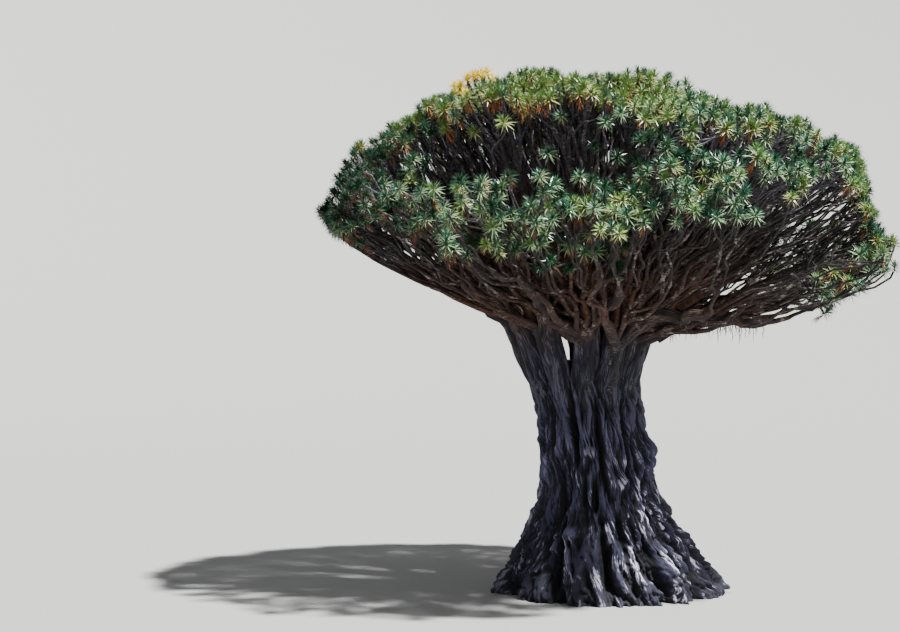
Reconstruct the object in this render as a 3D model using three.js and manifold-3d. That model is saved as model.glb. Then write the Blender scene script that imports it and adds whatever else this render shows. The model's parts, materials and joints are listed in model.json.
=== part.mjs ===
// A very old dragon tree (Dracaena draco): a fluted trunk of fused stems on a wide root flare,
// boughs that fan out from its fork, and an umbrella crown of leaf rosettes on forking stems.
// Millimetres, +Z up. The origin is the middle of the flat cut at ground level, +X is to the
// right and -Y to the front of the view in which the trunk leans left.
import * as THREE from "three";
import { mergeVertices } from "three/addons/utils/BufferGeometryUtils.js";
import Module from "manifold-3d";

const wasm = await Module();
wasm.setup();

// Driving dimensions of the whole tree
const seed = 7;
const treeHeight = 17000;
const crownRadius = 9430;
const crownCentreX = -200;
const forkHeight = 8300;
const touchGap = 0.3;

// The trunk: fused stems round a core. Its half width is waist + flare, and it opens again at the fork.
const trunk = {
  waistHalfWidth: 1560, flareWidth: 1900, flareHeight: 1900, flarePower: 1.5,
  openAbove: 6000, openSlope: 0.3, baseX: -40, leanX: -0.122, twistPerMetre: 0.055,
  rimHeights: [-700, 350, 2050, 3200, 5000, 6800, forkHeight], innerHeights: [6500, 7400, forkHeight],
  coreHeights: [-700, 600, 1700, 3300, 5800, 7250], coreSides: 8, coreTaper: 0.22, coreTaperStart: 6200,
  stemSides: 6, rootSwell: 0.7, rootHeight: 3600, unevenReach: 0.1, unevenRadius: 0.14, unevenHeight: 5000,
  cleftShift: 130, cleftBottom: 6900, cleftTop: 8000,
};

// The crown's upper surface drops by a slope and a roll at the rim, each with its share of cos(azimuth)
const crown = {
  slope: 1650, slopeToRight: 750, roll: 3400, rollToRight: -200, rollPower: 9.5, powerToRight: 4.5,
  rimLow: 11100, rimLowToRight: -650, rimLowToBack: 300, sideTaper: 0.05, topSteps: 48, sideSteps: 8,
  hollowDrop: 2500, hollowRoll: 0.55, hollowStart: 0.66, hollowEnd: 0.74,
  hollowAzimuths: [190, 222, 264, 286],
  bareLift: 2300, bareAzimuth: 325, bareWidth: 48, underside: 8400, undersideStart: 2200,
  lowPower: 0.18, lowPowerToRight: 1.48,
};

// One tier of boughs and leaf masses for each ring of fused stems, from the rim to the middle
const tiers = [
  {
    name: "rim", count: 12, firstAzimuth: 0, inner: 0.7, outer: 1.01, ringShare: 1, stemRadius: 415,
    tipRadius: 195, tipReach: 0.56, tipRise: 300,
  },
  {
    name: "shoulder", count: 6, firstAzimuth: 30, inner: 0.36, outer: 0.7, ringShare: 0.545, stemRadius: 345,
    tipRadius: 190, tipReach: 0.3, tipHeight: 11700, endRise: 1.6,
  },
  {
    name: "top", count: 3, firstAzimuth: 0, inner: 0, outer: 0.36, ringShare: 0.18, stemRadius: 250,
    tipRadius: 170, tipReach: 0.105, tipHeight: 12300, endRise: 4,
  },
];

// The rosettes stand for several of the real ones each, and the twigs thicken with what they carry
const rosette = {
  count: 132, radius: 900, inset: 810, uprightness: 0.55, scatter: 0.5,
  core: 185, fold: 6, band: 90, cap: 130, foot: 190,
};
const leafRows = { elevations: [-4, 27, 60], scatter: 10, shortest: 0.88, leastShare: 0.45, clearance: 25 };
const twig = {
  tipRadius: 70, growth: 0.34, sides: 3, stemShare: 0.9, sideSwell: 1.15,
  forkShare: 1.2, outward: 0.85, upward: 1.5, upwardToRight: 0.8,
};
const bough = { sides: 7, spans: 6, startHandle: 0.28, endHandle: 0.38, taperPower: 0.8 };
const degree = Math.PI / 180;
const goldenAngle = 137.508 * degree;

const barkLook = { color: 0x5c5352, roughness: 0.92, metalness: 0 };
const boughLook = { color: 0x6b5a4e, roughness: 0.9, metalness: 0 };
const leafLook = { color: 0x4f7a62, roughness: 0.6, metalness: 0 };

const group = new THREE.Group();
const up = new THREE.Vector3(0, 0, 1);
const right = new THREE.Vector3(1, 0, 0);

// Numbers: a seeded chance from 0 to 1, a smooth step, and an angle brought to 0 to 360 degrees

function chance(index, channel) {
  const wave = Math.sin(index * 127.1 + channel * 311.7 + seed * 74.7) * 43758.5453;
  return wave - Math.floor(wave);
}

function smooth(from, to, value) {
  const t = Math.min(1, Math.max(0, (value - from) / (to - from)));
  return t * t * (3 - 2 * t);
}

function fullTurn(degrees) {
  return ((degrees % 360) + 360) % 360;
}

// The crown's outer surface

function crownEdge(azimuth) {
  return crownRadius * (1 + 0.012 * Math.sin(3 * azimuth - 0.93) + 0.01 * Math.sin(5 * azimuth - 0.52));
}

function hollowAt(azimuth) {
  const [start, full, fade, end] = crown.hollowAzimuths;
  const at = fullTurn(azimuth / degree);
  return smooth(start, full, at) * (1 - smooth(fade, end, at));
}

function crownTop(share, azimuth) {
  const rightward = Math.cos(azimuth);
  const slope = crown.slope + crown.slopeToRight * rightward;
  const roll = crown.roll + crown.rollToRight * rightward;
  const power = crown.rollPower + crown.powerToRight * rightward;
  const drop = crown.hollowDrop * hollowAt(azimuth) * smooth(crown.hollowStart, crown.hollowEnd, share);
  const rollLeft = 1 - (1 - crown.hollowRoll) * (drop / crown.hollowDrop);
  return treeHeight - slope * share - roll * rollLeft * share ** power - drop;
}

function rimFoot(azimuth) {
  return crown.rimLow + crown.rimLowToRight * Math.cos(azimuth) + crown.rimLowToBack * Math.sin(azimuth);
}

function leafFoot(azimuth) {
  const away = Math.abs(fullTurn(azimuth / degree) - crown.bareAzimuth);
  return rimFoot(azimuth) + crown.bareLift * (1 - smooth(0, crown.bareWidth, away));
}

// The lowest line of the limbs, at a distance from the trunk's axis
function undersideAt(distance, azimuth) {
  const power = Math.exp(crown.lowPower + crown.lowPowerToRight * Math.max(0, Math.cos(azimuth)));
  const share = (distance - crown.undersideStart) / (crownRadius - crown.undersideStart);
  return crown.underside + (rimFoot(azimuth) - crown.underside) * Math.max(0, share) ** power;
}

// The section of the crown's surface at an azimuth: from the top over the rim and down its side,
// with the area that each step stands for. No leaves grow on the wall of the hollow.
function crownSection(azimuth) {
  const { topSteps, sideSteps } = crown;
  const edge = crownEdge(azimuth);
  const points = [];
  for (let i = 0; i <= topSteps; i++) {
    const share = i / topSteps;
    points.push({ share, distance: share * edge, height: crownTop(share, azimuth) });
  }
  const rimTop = points[topSteps].height;
  const rimLow = Math.min(rimTop, leafFoot(azimuth));
  for (let i = 1; i <= sideSteps; i++) {
    const t = i / sideSteps;
    const height = rimTop + (rimLow - rimTop) * t;
    points.push({ share: 1, distance: edge * (1 - crown.sideTaper * t), height });
  }
  let area = 0;
  points[0].area = 0;
  for (let i = 1; i < points.length; i++) {
    const [a, b] = [points[i - 1], points[i]];
    const inHollowWall = b.share > crown.hollowStart && a.share < crown.hollowEnd ? hollowAt(azimuth) : 0;
    const length = Math.hypot(b.distance - a.distance, b.height - a.height);
    area += ((a.distance + b.distance) / 2) * length * (1 - inHollowWall);
    b.area = area;
  }
  return points;
}

// A point of that section at a share of its area, moved in along the surface's normal
function sectionPoint(azimuth, areaShare, inset) {
  const points = crownSection(azimuth);
  const wanted = areaShare * points.at(-1).area;
  let i = 1;
  while (i < points.length - 1 && points[i].area < wanted) i++;
  const [a, b] = [points[i - 1], points[i]];
  const t = Math.min(1, Math.max(0, (wanted - a.area) / Math.max(1, b.area - a.area)));
  const run = Math.max(1, Math.hypot(b.distance - a.distance, b.height - a.height));
  const outward = -(b.height - a.height) / run;
  const upward = Math.max(0.05, (b.distance - a.distance) / run);
  const distance = a.distance + (b.distance - a.distance) * t - outward * inset;
  const position = new THREE.Vector3(
    crownCentreX + distance * Math.cos(azimuth),
    distance * Math.sin(azimuth),
    a.height + (b.height - a.height) * t - upward * inset,
  );
  const direction = new THREE.Vector3(Math.cos(azimuth), Math.sin(azimuth), 0).multiplyScalar(outward);
  direction.z = upward + rosette.uprightness;
  return { position, direction: direction.normalize(), share: a.share + (b.share - a.share) * t, azimuth };
}

// Every rosette's place: a sunflower lattice over the crown's surface, with a little seeded scatter
function rosetteTargets() {
  const places = [];
  for (let i = 0; i < rosette.count; i++) {
    const azimuth = i * goldenAngle + (chance(i, 1) - 0.5) * (rosette.scatter / Math.sqrt(i + 1));
    const areaShare = (i + 0.5) / rosette.count;
    places.push({ ...sectionPoint(azimuth, areaShare, rosette.inset), index: i });
  }
  return places;
}

function sectorOf(tier, azimuth) {
  const sector = 360 / tier.count;
  return Math.floor(fullTurn(azimuth / degree - tier.firstAzimuth + sector / 2) / sector) % tier.count;
}

// The trunk's width, lean and fused stems

function trunkHalfWidth(z) {
  const flare = trunk.flareWidth * Math.exp(-((Math.max(0, z) / trunk.flareHeight) ** trunk.flarePower));
  return trunk.waistHalfWidth + flare + trunk.openSlope * Math.max(0, z - trunk.openAbove);
}

function trunkAxisX(z) {
  return trunk.baseX + trunk.leanX * z;
}

function isRim(tier) {
  return tier === tiers[0];
}

function stemAzimuth(tier, k) {
  return (tier.firstAzimuth + (k * 360) / tier.count) * degree;
}

function stemRadius(tier, k, z) {
  const root = 1 - smooth(0, trunk.rootHeight, z);
  const uneven = trunk.unevenRadius * (chance(k, 6) - 0.5) * (1 - smooth(0, forkHeight, z));
  return tier.stemRadius * (1 + trunk.rootSwell * root + uneven);
}

// Stems to the left of the cleft lean away from those to its right
function stemPoint(tier, k, z) {
  const azimuth = stemAzimuth(tier, k);
  const turned = azimuth - (trunk.twistPerMetre * (forkHeight - z)) / 1000;
  const uneven = 1 + trunk.unevenReach * (chance(k, 5) - 0.5) * (1 - smooth(0, trunk.unevenHeight, z));
  const ring = (trunkHalfWidth(z) - stemRadius(tiers[0], 0, z)) * uneven * tier.ringShare;
  const side = Math.cos(azimuth) * trunkHalfWidth(forkHeight) * tier.ringShare < -tier.stemRadius ? -1 : 1;
  const cleft = side * trunk.cleftShift * smooth(trunk.cleftBottom, trunk.cleftTop, z);
  return new THREE.Vector3(trunkAxisX(z) + ring * Math.cos(turned) + cleft, ring * Math.sin(turned), z);
}

// A limb is a list of stations, each with its centre, heading and radius

function stationsThrough(centres, radii) {
  return centres.map((centre, i) => {
    const heading = centres[Math.min(i + 1, centres.length - 1)].clone().sub(centres[Math.max(i - 1, 0)]);
    return { centre, heading: heading.normalize(), radius: radii[i] };
  });
}

function stationsAlong(curve, spans, radiusAt) {
  const stations = [];
  for (let i = 0; i <= spans; i++) {
    const t = i / spans;
    stations.push({ centre: curve.getPoint(t), heading: curve.getTangent(t), radius: radiusAt(t) });
  }
  return stations;
}

function stemStations(tier, k) {
  const heights = isRim(tier) ? trunk.rimHeights : trunk.innerHeights;
  const centres = heights.map((z) => stemPoint(tier, k, z));
  return stationsThrough(centres, heights.map((z) => stemRadius(tier, k, z)));
}

// Solids

// The corners of a limb's tube, station by station, turned as little as its bends allow
function tubeRings(stations, sides) {
  const first = stations[0].heading;
  const across = new THREE.Vector3().crossVectors(first, Math.abs(first.x) < 0.7 ? right : up);
  return stations.map(({ centre, heading, radius }) => {
    across.addScaledVector(heading, -across.dot(heading)).normalize();
    const over = new THREE.Vector3().crossVectors(heading, across);
    return ringOf(centre, across, over, radius, sides, 0);
  });
}

function ringOf(centre, across, over, radius, sides, turn) {
  const corners = [];
  for (let j = 0; j < sides; j++) {
    const angle = ((j + turn) / sides) * 2 * Math.PI;
    const corner = centre.clone().addScaledVector(across, radius * Math.cos(angle));
    corners.push(corner.addScaledVector(over, radius * Math.sin(angle)));
  }
  return corners;
}

// Triangles from ring to ring, and over the first ring; the last ring is left open
function tubeFaces(rings) {
  const sides = rings[0].length;
  const index = [];
  for (let j = 1; j < sides - 1; j++) index.push(0, j + 1, j);
  for (let i = 0; i < rings.length - 1; i++) {
    for (let j = 0; j < sides; j++) {
      const [a, b] = [i * sides + j, i * sides + ((j + 1) % sides)];
      index.push(a, b, b + sides, a, b + sides, a + sides);
    }
  }
  return index;
}

function limbSolid(stations, sides) {
  const rings = tubeRings(stations, sides);
  const index = tubeFaces(rings);
  const last = (rings.length - 1) * sides;
  for (let j = 1; j < sides - 1; j++) index.push(last, last + j, last + j + 1);
  return solidOf(rings.flat(), index);
}

function solidOf(points, index) {
  const geometry = new THREE.BufferGeometry().setFromPoints(points);
  geometry.setIndex(index);
  const merged = mergeVertices(geometry, 1e-3);
  const vertProperties = merged.attributes.position.array;
  const mesh = new wasm.Mesh({ numProp: 3, vertProperties, triVerts: new Uint32Array(merged.index.array) });
  return new wasm.Manifold(mesh);
}

function geometryOf(solid) {
  const mesh = solid.getMesh();
  const geometry = new THREE.BufferGeometry();
  geometry.setAttribute("position", new THREE.Float32BufferAttribute(mesh.vertProperties, 3));
  geometry.setIndex([...mesh.triVerts]);
  return geometry;
}

// Joins solids, then keeps the outer shell of the largest body, which fills any sealed hollow
function fused(solids) {
  const joined = solids.reduce((all, next) => all.add(next));
  return joined.decompose().sort((a, b) => b.volume() - a.volume())[0];
}

function addNode(name, solid, look) {
  const geometry = geometryOf(solid);
  geometry.computeVertexNormals();
  const mesh = new THREE.Mesh(geometry, new THREE.MeshStandardMaterial(look));
  mesh.name = name;
  group.add(mesh);
}

function numbered(prefix, tier, k) {
  return `${prefix}_${tier.name}_${String(k + 1).padStart(2, "0")}`;
}

// The trunk: core and fused stems, cut flat at the ground

function trunkSolid() {
  const heights = trunk.coreHeights;
  const centres = heights.map((z) => new THREE.Vector3(trunkAxisX(z), 0, z));
  const radii = heights.map((z) => {
    const taper = 1 - trunk.coreTaper * smooth(trunk.coreTaperStart, heights.at(-1), z);
    return (trunkHalfWidth(z) - stemRadius(tiers[0], 0, z)) * taper;
  });
  const solids = [limbSolid(stationsThrough(centres, radii), trunk.coreSides)];
  for (const tier of tiers) {
    for (let k = 0; k < tier.count; k++) solids.push(limbSolid(stemStations(tier, k), trunk.stemSides));
  }
  return fused(solids).trimByPlane([0, 0, 1], 0);
}

// A bough goes on from the end of its stem, a hair clear of it, and ends where its mass begins

// A rim bough lies along the crown's underside, and the others rise to their own heights
function boughEnd(tier, azimuth) {
  const distance = tier.tipReach * crownEdge(azimuth);
  const height = undersideAt(distance, azimuth);
  const slope = (undersideAt(distance + 100, azimuth) - height) / 100;
  const out = new THREE.Vector3(Math.cos(azimuth), Math.sin(azimuth), 0);
  const tip = out.clone().multiplyScalar(distance);
  tip.add(new THREE.Vector3(crownCentreX, 0, tier.tipHeight ?? height + tier.tipRise));
  return { tip, ending: out.setZ(tier.endRise ?? slope).normalize() };
}

function boughStations(tier, k) {
  const azimuth = stemAzimuth(tier, k);
  const { centre, heading, radius } = stemStations(tier, k).at(-1);
  const start = centre.clone().addScaledVector(heading, touchGap);
  const { tip, ending } = boughEnd(tier, azimuth);
  const length = start.distanceTo(tip);
  const leaving = start.clone().addScaledVector(heading, length * bough.startHandle);
  const arriving = tip.clone().addScaledVector(ending, -length * bough.endHandle);
  const curve = new THREE.CubicBezierCurve3(start, leaving, arriving, tip);
  const radiusAt = (t) => radius + (tier.tipRadius - radius) * t ** bough.taperPower;
  return stationsAlong(curve, bough.spans, radiusAt);
}

// Twigs fork in two by halving the rosettes that they lead to, across the wider of the two ways
// round and outward. Each fork lies a share of the way on, further outward than upward.

function halves(targets) {
  const around = (t) => Math.sin(t.azimuth - targets[0].azimuth) * t.share * crownRadius;
  const outward = (t) => t.share * crownRadius - t.position.z;
  const spread = (of) => Math.max(...targets.map(of)) - Math.min(...targets.map(of));
  const key = spread(around) > spread(outward) ? around : outward;
  const sorted = [...targets].sort((a, b) => key(a) - key(b));
  const half = Math.ceil(sorted.length / 2);
  return [sorted.slice(0, half), sorted.slice(half)];
}

function middleOf(targets) {
  const middle = new THREE.Vector3();
  for (const t of targets) middle.addScaledVector(t.position, 1 / targets.length);
  return middle;
}

function forkPoint(start, targets) {
  const middle = middleOf(targets);
  const share = 1 / (Math.ceil(Math.log2(targets.length)) + twig.forkShare);
  const across = share ** twig.outward;
  const rightward = (middle.x - crownCentreX) / Math.hypot(middle.x - crownCentreX, middle.y);
  const upward = share ** (twig.upward + twig.upwardToRight * Math.max(0, rightward));
  return new THREE.Vector3(
    start.x + (middle.x - start.x) * across,
    start.y + (middle.y - start.y) * across,
    start.z + (middle.z - start.z) * upward,
  );
}

function twigRadius(leads) {
  return twig.tipRadius * leads ** twig.growth;
}

// Takes a limb on to its next fork, through it into one half, and starts a new limb into the other
function growTwigs(limb, targets, limbs) {
  const { centre: start, heading, radius } = limb.stations.at(-1);
  const [target] = targets;
  const isTip = targets.length === 1;
  const stop = isTip ? target.position.clone().addScaledVector(target.direction, -rosette.foot)
    : forkPoint(start, targets);
  const straight = stop.clone().sub(start);
  const handle = straight.length() / 3;
  straight.normalize();
  const onward = isTip ? target.direction : middleOf(targets).sub(stop).normalize();
  const arriving = isTip ? onward : straight.clone().add(onward).normalize();
  const curve = new THREE.CubicBezierCurve3(
    start,
    start.clone().addScaledVector(heading, handle),
    stop.clone().addScaledVector(arriving, -handle),
    stop,
  );
  const end = twigRadius(targets.length);
  limb.stations.push(...stationsAlong(curve, isTip ? 1 : 2, (t) => radius + (end - radius) * t).slice(1));
  if (isTip) {
    limbs.push({ ...limb, target });
    return;
  }
  const straightness = (half) => middleOf(half).sub(stop).normalize().dot(arriving);
  const [first, second] = halves(targets).sort((a, b) => straightness(b) - straightness(a));
  growTwigs(limb, first, limbs);
  const aim = middleOf(second).sub(stop).normalize().add(arriving).normalize();
  const branch = { centre: stop, heading: aim, radius: twigRadius(second.length) * twig.sideSwell };
  growTwigs({ stations: [branch] }, second, limbs);
}

function massLimbs(tier, k, targets) {
  const { centre, heading, radius } = boughStations(tier, k).at(-1);
  const start = centre.clone().addScaledVector(heading, touchGap);
  const limbs = [];
  growTwigs({ stations: [{ centre: start, heading, radius: radius * twig.stemShare }] }, targets, limbs);
  return limbs;
}

// A leaf keeps to its rosette's side of the plane halfway to each other rosette, and off every limb

function reachShare(tip, target, targets) {
  let share = 1;
  for (const other of targets) {
    const across = other.position.clone().sub(target.position);
    const distance = across.length();
    if (other.index === target.index || distance > 2 * rosette.radius) continue;
    const along = tip.clone().sub(target.position).dot(across) / distance;
    const limit = distance / 2 - leafRows.clearance;
    if (along > limit) share = Math.min(share, limit / along);
  }
  return share;
}

function touchesLimb(root, tip, own, limbs) {
  const nearest = new THREE.Vector3();
  for (const limb of limbs) {
    if (limb === own) continue;
    for (let i = 1; i < limb.stations.length; i++) {
      const line = new THREE.Line3(limb.stations[i - 1].centre, limb.stations[i].centre);
      const room = limb.stations[i - 1].radius + leafRows.clearance;
      for (const t of [0.25, 0.5, 0.75, 1]) {
        const point = root.clone().lerp(tip, t);
        if (line.closestPointToPoint(point, true, nearest).distanceTo(point) < room) return true;
      }
    }
  }
  return false;
}

// A twig that goes over into its rosette: a short core whose faces are drawn out into pointed
// leaves, in three rows of different slope
function rosetteTwigSolid(limb, targets, limbs) {
  const { stations, target } = limb;
  const { fold, core, band, cap, radius } = rosette;
  const rings = tubeRings(stations, twig.sides);
  const index = tubeFaces(rings);
  const across = rings.at(-1)[0].clone().sub(stations.at(-1).centre).normalize();
  const over = new THREE.Vector3().crossVectors(target.direction, across);
  const level = (height) => target.position.clone().addScaledVector(target.direction, height);
  const points = rings.flat();
  const low = points.length;
  const high = low + fold;
  const apex = high + fold;
  points.push(...ringOf(level(-band / 2), across, over, core, fold, 0));
  points.push(...ringOf(level(band / 2), across, over, core, fold, 0.5), level(cap));
  const perSide = fold / twig.sides;
  const foot = low - twig.sides;
  for (let j = 0; j < twig.sides; j++) {
    const next = foot + ((j + 1) % twig.sides);
    for (let i = 0; i < perSide; i++) {
      const corner = low + j * perSide + i;
      index.push(i === 0 ? foot + j : next, low + ((corner + 1 - low) % fold), corner);
    }
    index.push(foot + j, next, low + j * perSide + 1);
  }
  const leaf = (a, b, c, angle, row) => {
    const seedIndex = target.index * 31 + points.length;
    const elevation = (leafRows.elevations[row] + leafRows.scatter * (chance(seedIndex, 11) - 0.5)) * degree;
    const length = radius * (leafRows.shortest + (1 - leafRows.shortest) * chance(seedIndex, 12));
    const tip = level(length * Math.sin(elevation));
    tip.addScaledVector(across, length * Math.cos(elevation) * Math.cos(angle));
    tip.addScaledVector(over, length * Math.cos(elevation) * Math.sin(angle));
    const share = reachShare(tip, target, targets);
    const root = points[a].clone().add(points[b]).add(points[c]).divideScalar(3);
    tip.copy(root.clone().lerp(tip, share));
    if (share < leafRows.leastShare || touchesLimb(root, tip, limb, limbs)) {
      index.push(a, b, c);
      return;
    }
    points.push(tip);
    index.push(a, b, points.length - 1, b, c, points.length - 1, c, a, points.length - 1);
  };
  for (let i = 0; i < fold; i++) {
    const next = (i + 1) % fold;
    const angle = (i * 2 * Math.PI) / fold;
    const step = Math.PI / fold;
    leaf(low + i, low + next, high + i, angle + step, 0);
    leaf(low + next, high + next, high + i, angle + 2 * step, 1);
    if (i % 2) leaf(high + i, high + next, apex, angle + 2 * step, 2);
    else index.push(high + i, high + next, apex);
  }
  return solidOf(points, index);
}

addNode("trunk", trunkSolid(), barkLook);
const targets = rosetteTargets();
const boughLimbs = [];
const masses = [];
for (const tier of tiers) {
  const within = targets.filter((t) => t.share >= tier.inner && t.share < tier.outer);
  for (let k = 0; k < tier.count; k++) {
    boughLimbs.push({ name: numbered("bough", tier, k), stations: boughStations(tier, k) });
    const mine = within.filter((t) => sectorOf(tier, t.azimuth) === k);
    masses.push({ name: numbered("foliage", tier, k), limbs: massLimbs(tier, k, mine) });
  }
}
const limbs = [...boughLimbs, ...masses.flatMap((mass) => mass.limbs)];
for (const limb of boughLimbs) addNode(limb.name, limbSolid(limb.stations, bough.sides), boughLook);
for (const mass of masses) {
  addNode(mass.name, fused(mass.limbs.map((limb) => rosetteTwigSolid(limb, targets, limbs))), leafLook);
}

export default group;
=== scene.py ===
import json
import math

import bpy
import numpy as np
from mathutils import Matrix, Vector, noise

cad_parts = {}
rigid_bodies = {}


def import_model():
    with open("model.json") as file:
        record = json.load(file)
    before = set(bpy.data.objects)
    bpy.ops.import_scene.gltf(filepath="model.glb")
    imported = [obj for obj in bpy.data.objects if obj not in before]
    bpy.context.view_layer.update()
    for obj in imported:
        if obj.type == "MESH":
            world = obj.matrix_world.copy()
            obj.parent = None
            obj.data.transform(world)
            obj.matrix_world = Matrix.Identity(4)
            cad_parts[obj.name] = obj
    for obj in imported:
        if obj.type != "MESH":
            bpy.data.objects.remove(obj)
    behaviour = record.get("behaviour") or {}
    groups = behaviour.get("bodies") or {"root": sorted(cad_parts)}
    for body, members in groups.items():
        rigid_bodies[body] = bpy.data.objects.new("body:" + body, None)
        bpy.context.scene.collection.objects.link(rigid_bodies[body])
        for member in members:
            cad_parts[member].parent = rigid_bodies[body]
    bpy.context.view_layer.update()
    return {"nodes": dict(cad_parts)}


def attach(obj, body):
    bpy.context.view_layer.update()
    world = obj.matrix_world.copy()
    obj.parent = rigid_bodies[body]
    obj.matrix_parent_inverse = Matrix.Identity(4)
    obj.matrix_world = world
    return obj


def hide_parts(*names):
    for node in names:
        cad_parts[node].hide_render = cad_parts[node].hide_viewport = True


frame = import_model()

# The tree's rule, as the solids were made by it, in metres: trunk, crown surface, tiers and twigs
seed = 7
treeHeight = 17.0
crownRadius = 9.43
crownCentreX = -0.2
forkHeight = 8.3
golden = math.radians(137.508)

trunk = {
    "waistHalfWidth": 1.56, "flareWidth": 1.9, "flareHeight": 1.9, "flarePower": 1.5,
    "openAbove": 6.0, "openSlope": 0.3, "baseX": -0.04, "leanX": -0.122, "twistPerMetre": 0.055,
    "rootSwell": 0.7, "rootHeight": 3.6, "unevenReach": 0.1, "unevenRadius": 0.14, "unevenHeight": 5.0,
    "cleftShift": 0.13, "cleftBottom": 6.9, "cleftTop": 8.0,
}
crown = {
    "slope": 1.65, "slopeToRight": 0.75, "roll": 3.4, "rollToRight": -0.2, "rollPower": 9.5,
    "powerToRight": 4.5, "rimLow": 11.1, "rimLowToRight": -0.65, "rimLowToBack": 0.3, "sideTaper": 0.05,
    "topSteps": 48, "sideSteps": 8, "hollowDrop": 2.5, "hollowRoll": 0.55, "hollowStart": 0.66,
    "hollowEnd": 0.74, "hollowAzimuths": (190, 222, 264, 286), "bareLift": 2.3, "bareAzimuth": 325,
    "bareWidth": 48, "underside": 8.4, "undersideStart": 2.2, "lowPower": 0.18, "lowPowerToRight": 1.48,
    "edgeWaves": ((0.012, 3, 0.93), (0.01, 5, 0.52)), "wallBare": 0.93,
}
tiers = [  # rim, shoulder and top
    {"count": 12, "firstAzimuth": 0, "inner": 0.7, "outer": 1.01, "ringShare": 1,
     "stemRadius": 0.415, "tipRadius": 0.195, "tipReach": 0.56, "tipRise": 0.3},
    {"count": 6, "firstAzimuth": 30, "inner": 0.36, "outer": 0.7, "ringShare": 0.545,
     "stemRadius": 0.345, "tipRadius": 0.19, "tipReach": 0.3, "tipHeight": 11.7, "endRise": 1.6},
    {"count": 3, "firstAzimuth": 0, "inner": 0, "outer": 0.36, "ringShare": 0.18,
     "stemRadius": 0.25, "tipRadius": 0.17, "tipReach": 0.105, "tipHeight": 12.3, "endRise": 4},
]
bough = {"startHandle": 0.28, "endHandle": 0.38, "taperPower": 0.8, "headingFrom": 1.4}


def chance(index, channel):
    wave = math.sin(index * 127.1 + channel * 311.7 + seed * 74.7) * 43758.5453
    return wave - math.floor(wave)


def jitter(index, channel):  # a step any way, from three channels in a row
    return Vector([chance(index, channel + i) - 0.5 for i in range(3)])


def smooth(start, end, value):
    t = min(1.0, max(0.0, (value - start) / (end - start)))
    return t * t * (3 - 2 * t)


def crownEdge(azimuth):
    edge = 1.0
    for depth, count, phase in crown["edgeWaves"]:
        edge += depth * math.sin(count * azimuth - phase)
    return crownRadius * edge


def hollowAt(azimuth):
    start, full, fade, end = crown["hollowAzimuths"]
    at = math.degrees(azimuth) % 360
    return smooth(start, full, at) * (1 - smooth(fade, end, at))


def crownTop(share, azimuth):
    rightward = math.cos(azimuth)
    slope = crown["slope"] + crown["slopeToRight"] * rightward
    roll = crown["roll"] + crown["rollToRight"] * rightward
    power = crown["rollPower"] + crown["powerToRight"] * rightward
    drop = crown["hollowDrop"] * hollowAt(azimuth) * smooth(crown["hollowStart"], crown["hollowEnd"], share)
    rollLeft = 1 - (1 - crown["hollowRoll"]) * (drop / crown["hollowDrop"])
    return treeHeight - slope * share - roll * rollLeft * share ** power - drop


def rimFoot(azimuth):
    rightward, backward = math.cos(azimuth), math.sin(azimuth)
    return crown["rimLow"] + crown["rimLowToRight"] * rightward + crown["rimLowToBack"] * backward


def leafFoot(azimuth):
    away = abs(math.degrees(azimuth) % 360 - crown["bareAzimuth"])
    return rimFoot(azimuth) + crown["bareLift"] * (1 - smooth(0, crown["bareWidth"], away))


def undersideAt(distance, azimuth):  # the lowest line of the limbs
    power = math.exp(crown["lowPower"] + crown["lowPowerToRight"] * max(0.0, math.cos(azimuth)))
    share = (distance - crown["undersideStart"]) / (crownRadius - crown["undersideStart"])
    return crown["underside"] + (rimFoot(azimuth) - crown["underside"]) * max(0.0, share) ** power


def crownSection(azimuth):  # (share, distance, height, area so far) over the top and down the side
    edge = crownEdge(azimuth)
    points = []
    for i in range(crown["topSteps"] + 1):
        share = i / crown["topSteps"]
        points.append([share, share * edge, crownTop(share, azimuth), 0.0])
    rimTop = points[-1][2]
    rimLow = min(rimTop, leafFoot(azimuth))
    for i in range(1, crown["sideSteps"] + 1):
        t = i / crown["sideSteps"]
        points.append([1, edge * (1 - crown["sideTaper"] * t), rimTop + (rimLow - rimTop) * t, 0.0])
    wall = hollowAt(azimuth) * crown["wallBare"]  # the hollow's wall stays nearly without rosettes
    for a, b in zip(points, points[1:]):
        bare = wall if b[0] > crown["hollowStart"] and a[0] < crown["hollowEnd"] else 0
        length = math.hypot(b[1] - a[1], b[2] - a[2])
        b[3] = a[3] + (a[1] + b[1]) / 2 * length * (1 - bare)
    return points


def sectionPoint(azimuth, areaShare, inset, uprightness):  # a place on the crown, its way out and its share
    points = crownSection(azimuth)
    wanted = areaShare * points[-1][3]
    i = 1
    while i < len(points) - 1 and points[i][3] < wanted:
        i += 1
    a, b = points[i - 1], points[i]
    t = min(1.0, max(0.0, (wanted - a[3]) / max(1e-6, b[3] - a[3])))
    run = max(1e-3, math.hypot(b[1] - a[1], b[2] - a[2]))
    outward = (a[2] - b[2]) / run
    upward = max(0.05, (b[1] - a[1]) / run)
    distance = a[1] + (b[1] - a[1]) * t - outward * inset
    position = Vector((crownCentreX + distance * math.cos(azimuth), distance * math.sin(azimuth),
                       a[2] + (b[2] - a[2]) * t - upward * inset))
    direction = Vector((math.cos(azimuth) * outward, math.sin(azimuth) * outward, upward + uprightness))
    return position, direction.normalized(), a[0] + (b[0] - a[0]) * t


def trunkHalfWidth(z):
    flare = trunk["flareWidth"] * math.exp(-((max(0.0, z) / trunk["flareHeight"]) ** trunk["flarePower"]))
    return trunk["waistHalfWidth"] + flare + trunk["openSlope"] * max(0.0, z - trunk["openAbove"])


def trunkAxisX(z):
    return trunk["baseX"] + trunk["leanX"] * z


def stemAzimuth(tier, k):
    return math.radians(tier["firstAzimuth"] + k * 360 / tier["count"])


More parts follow.
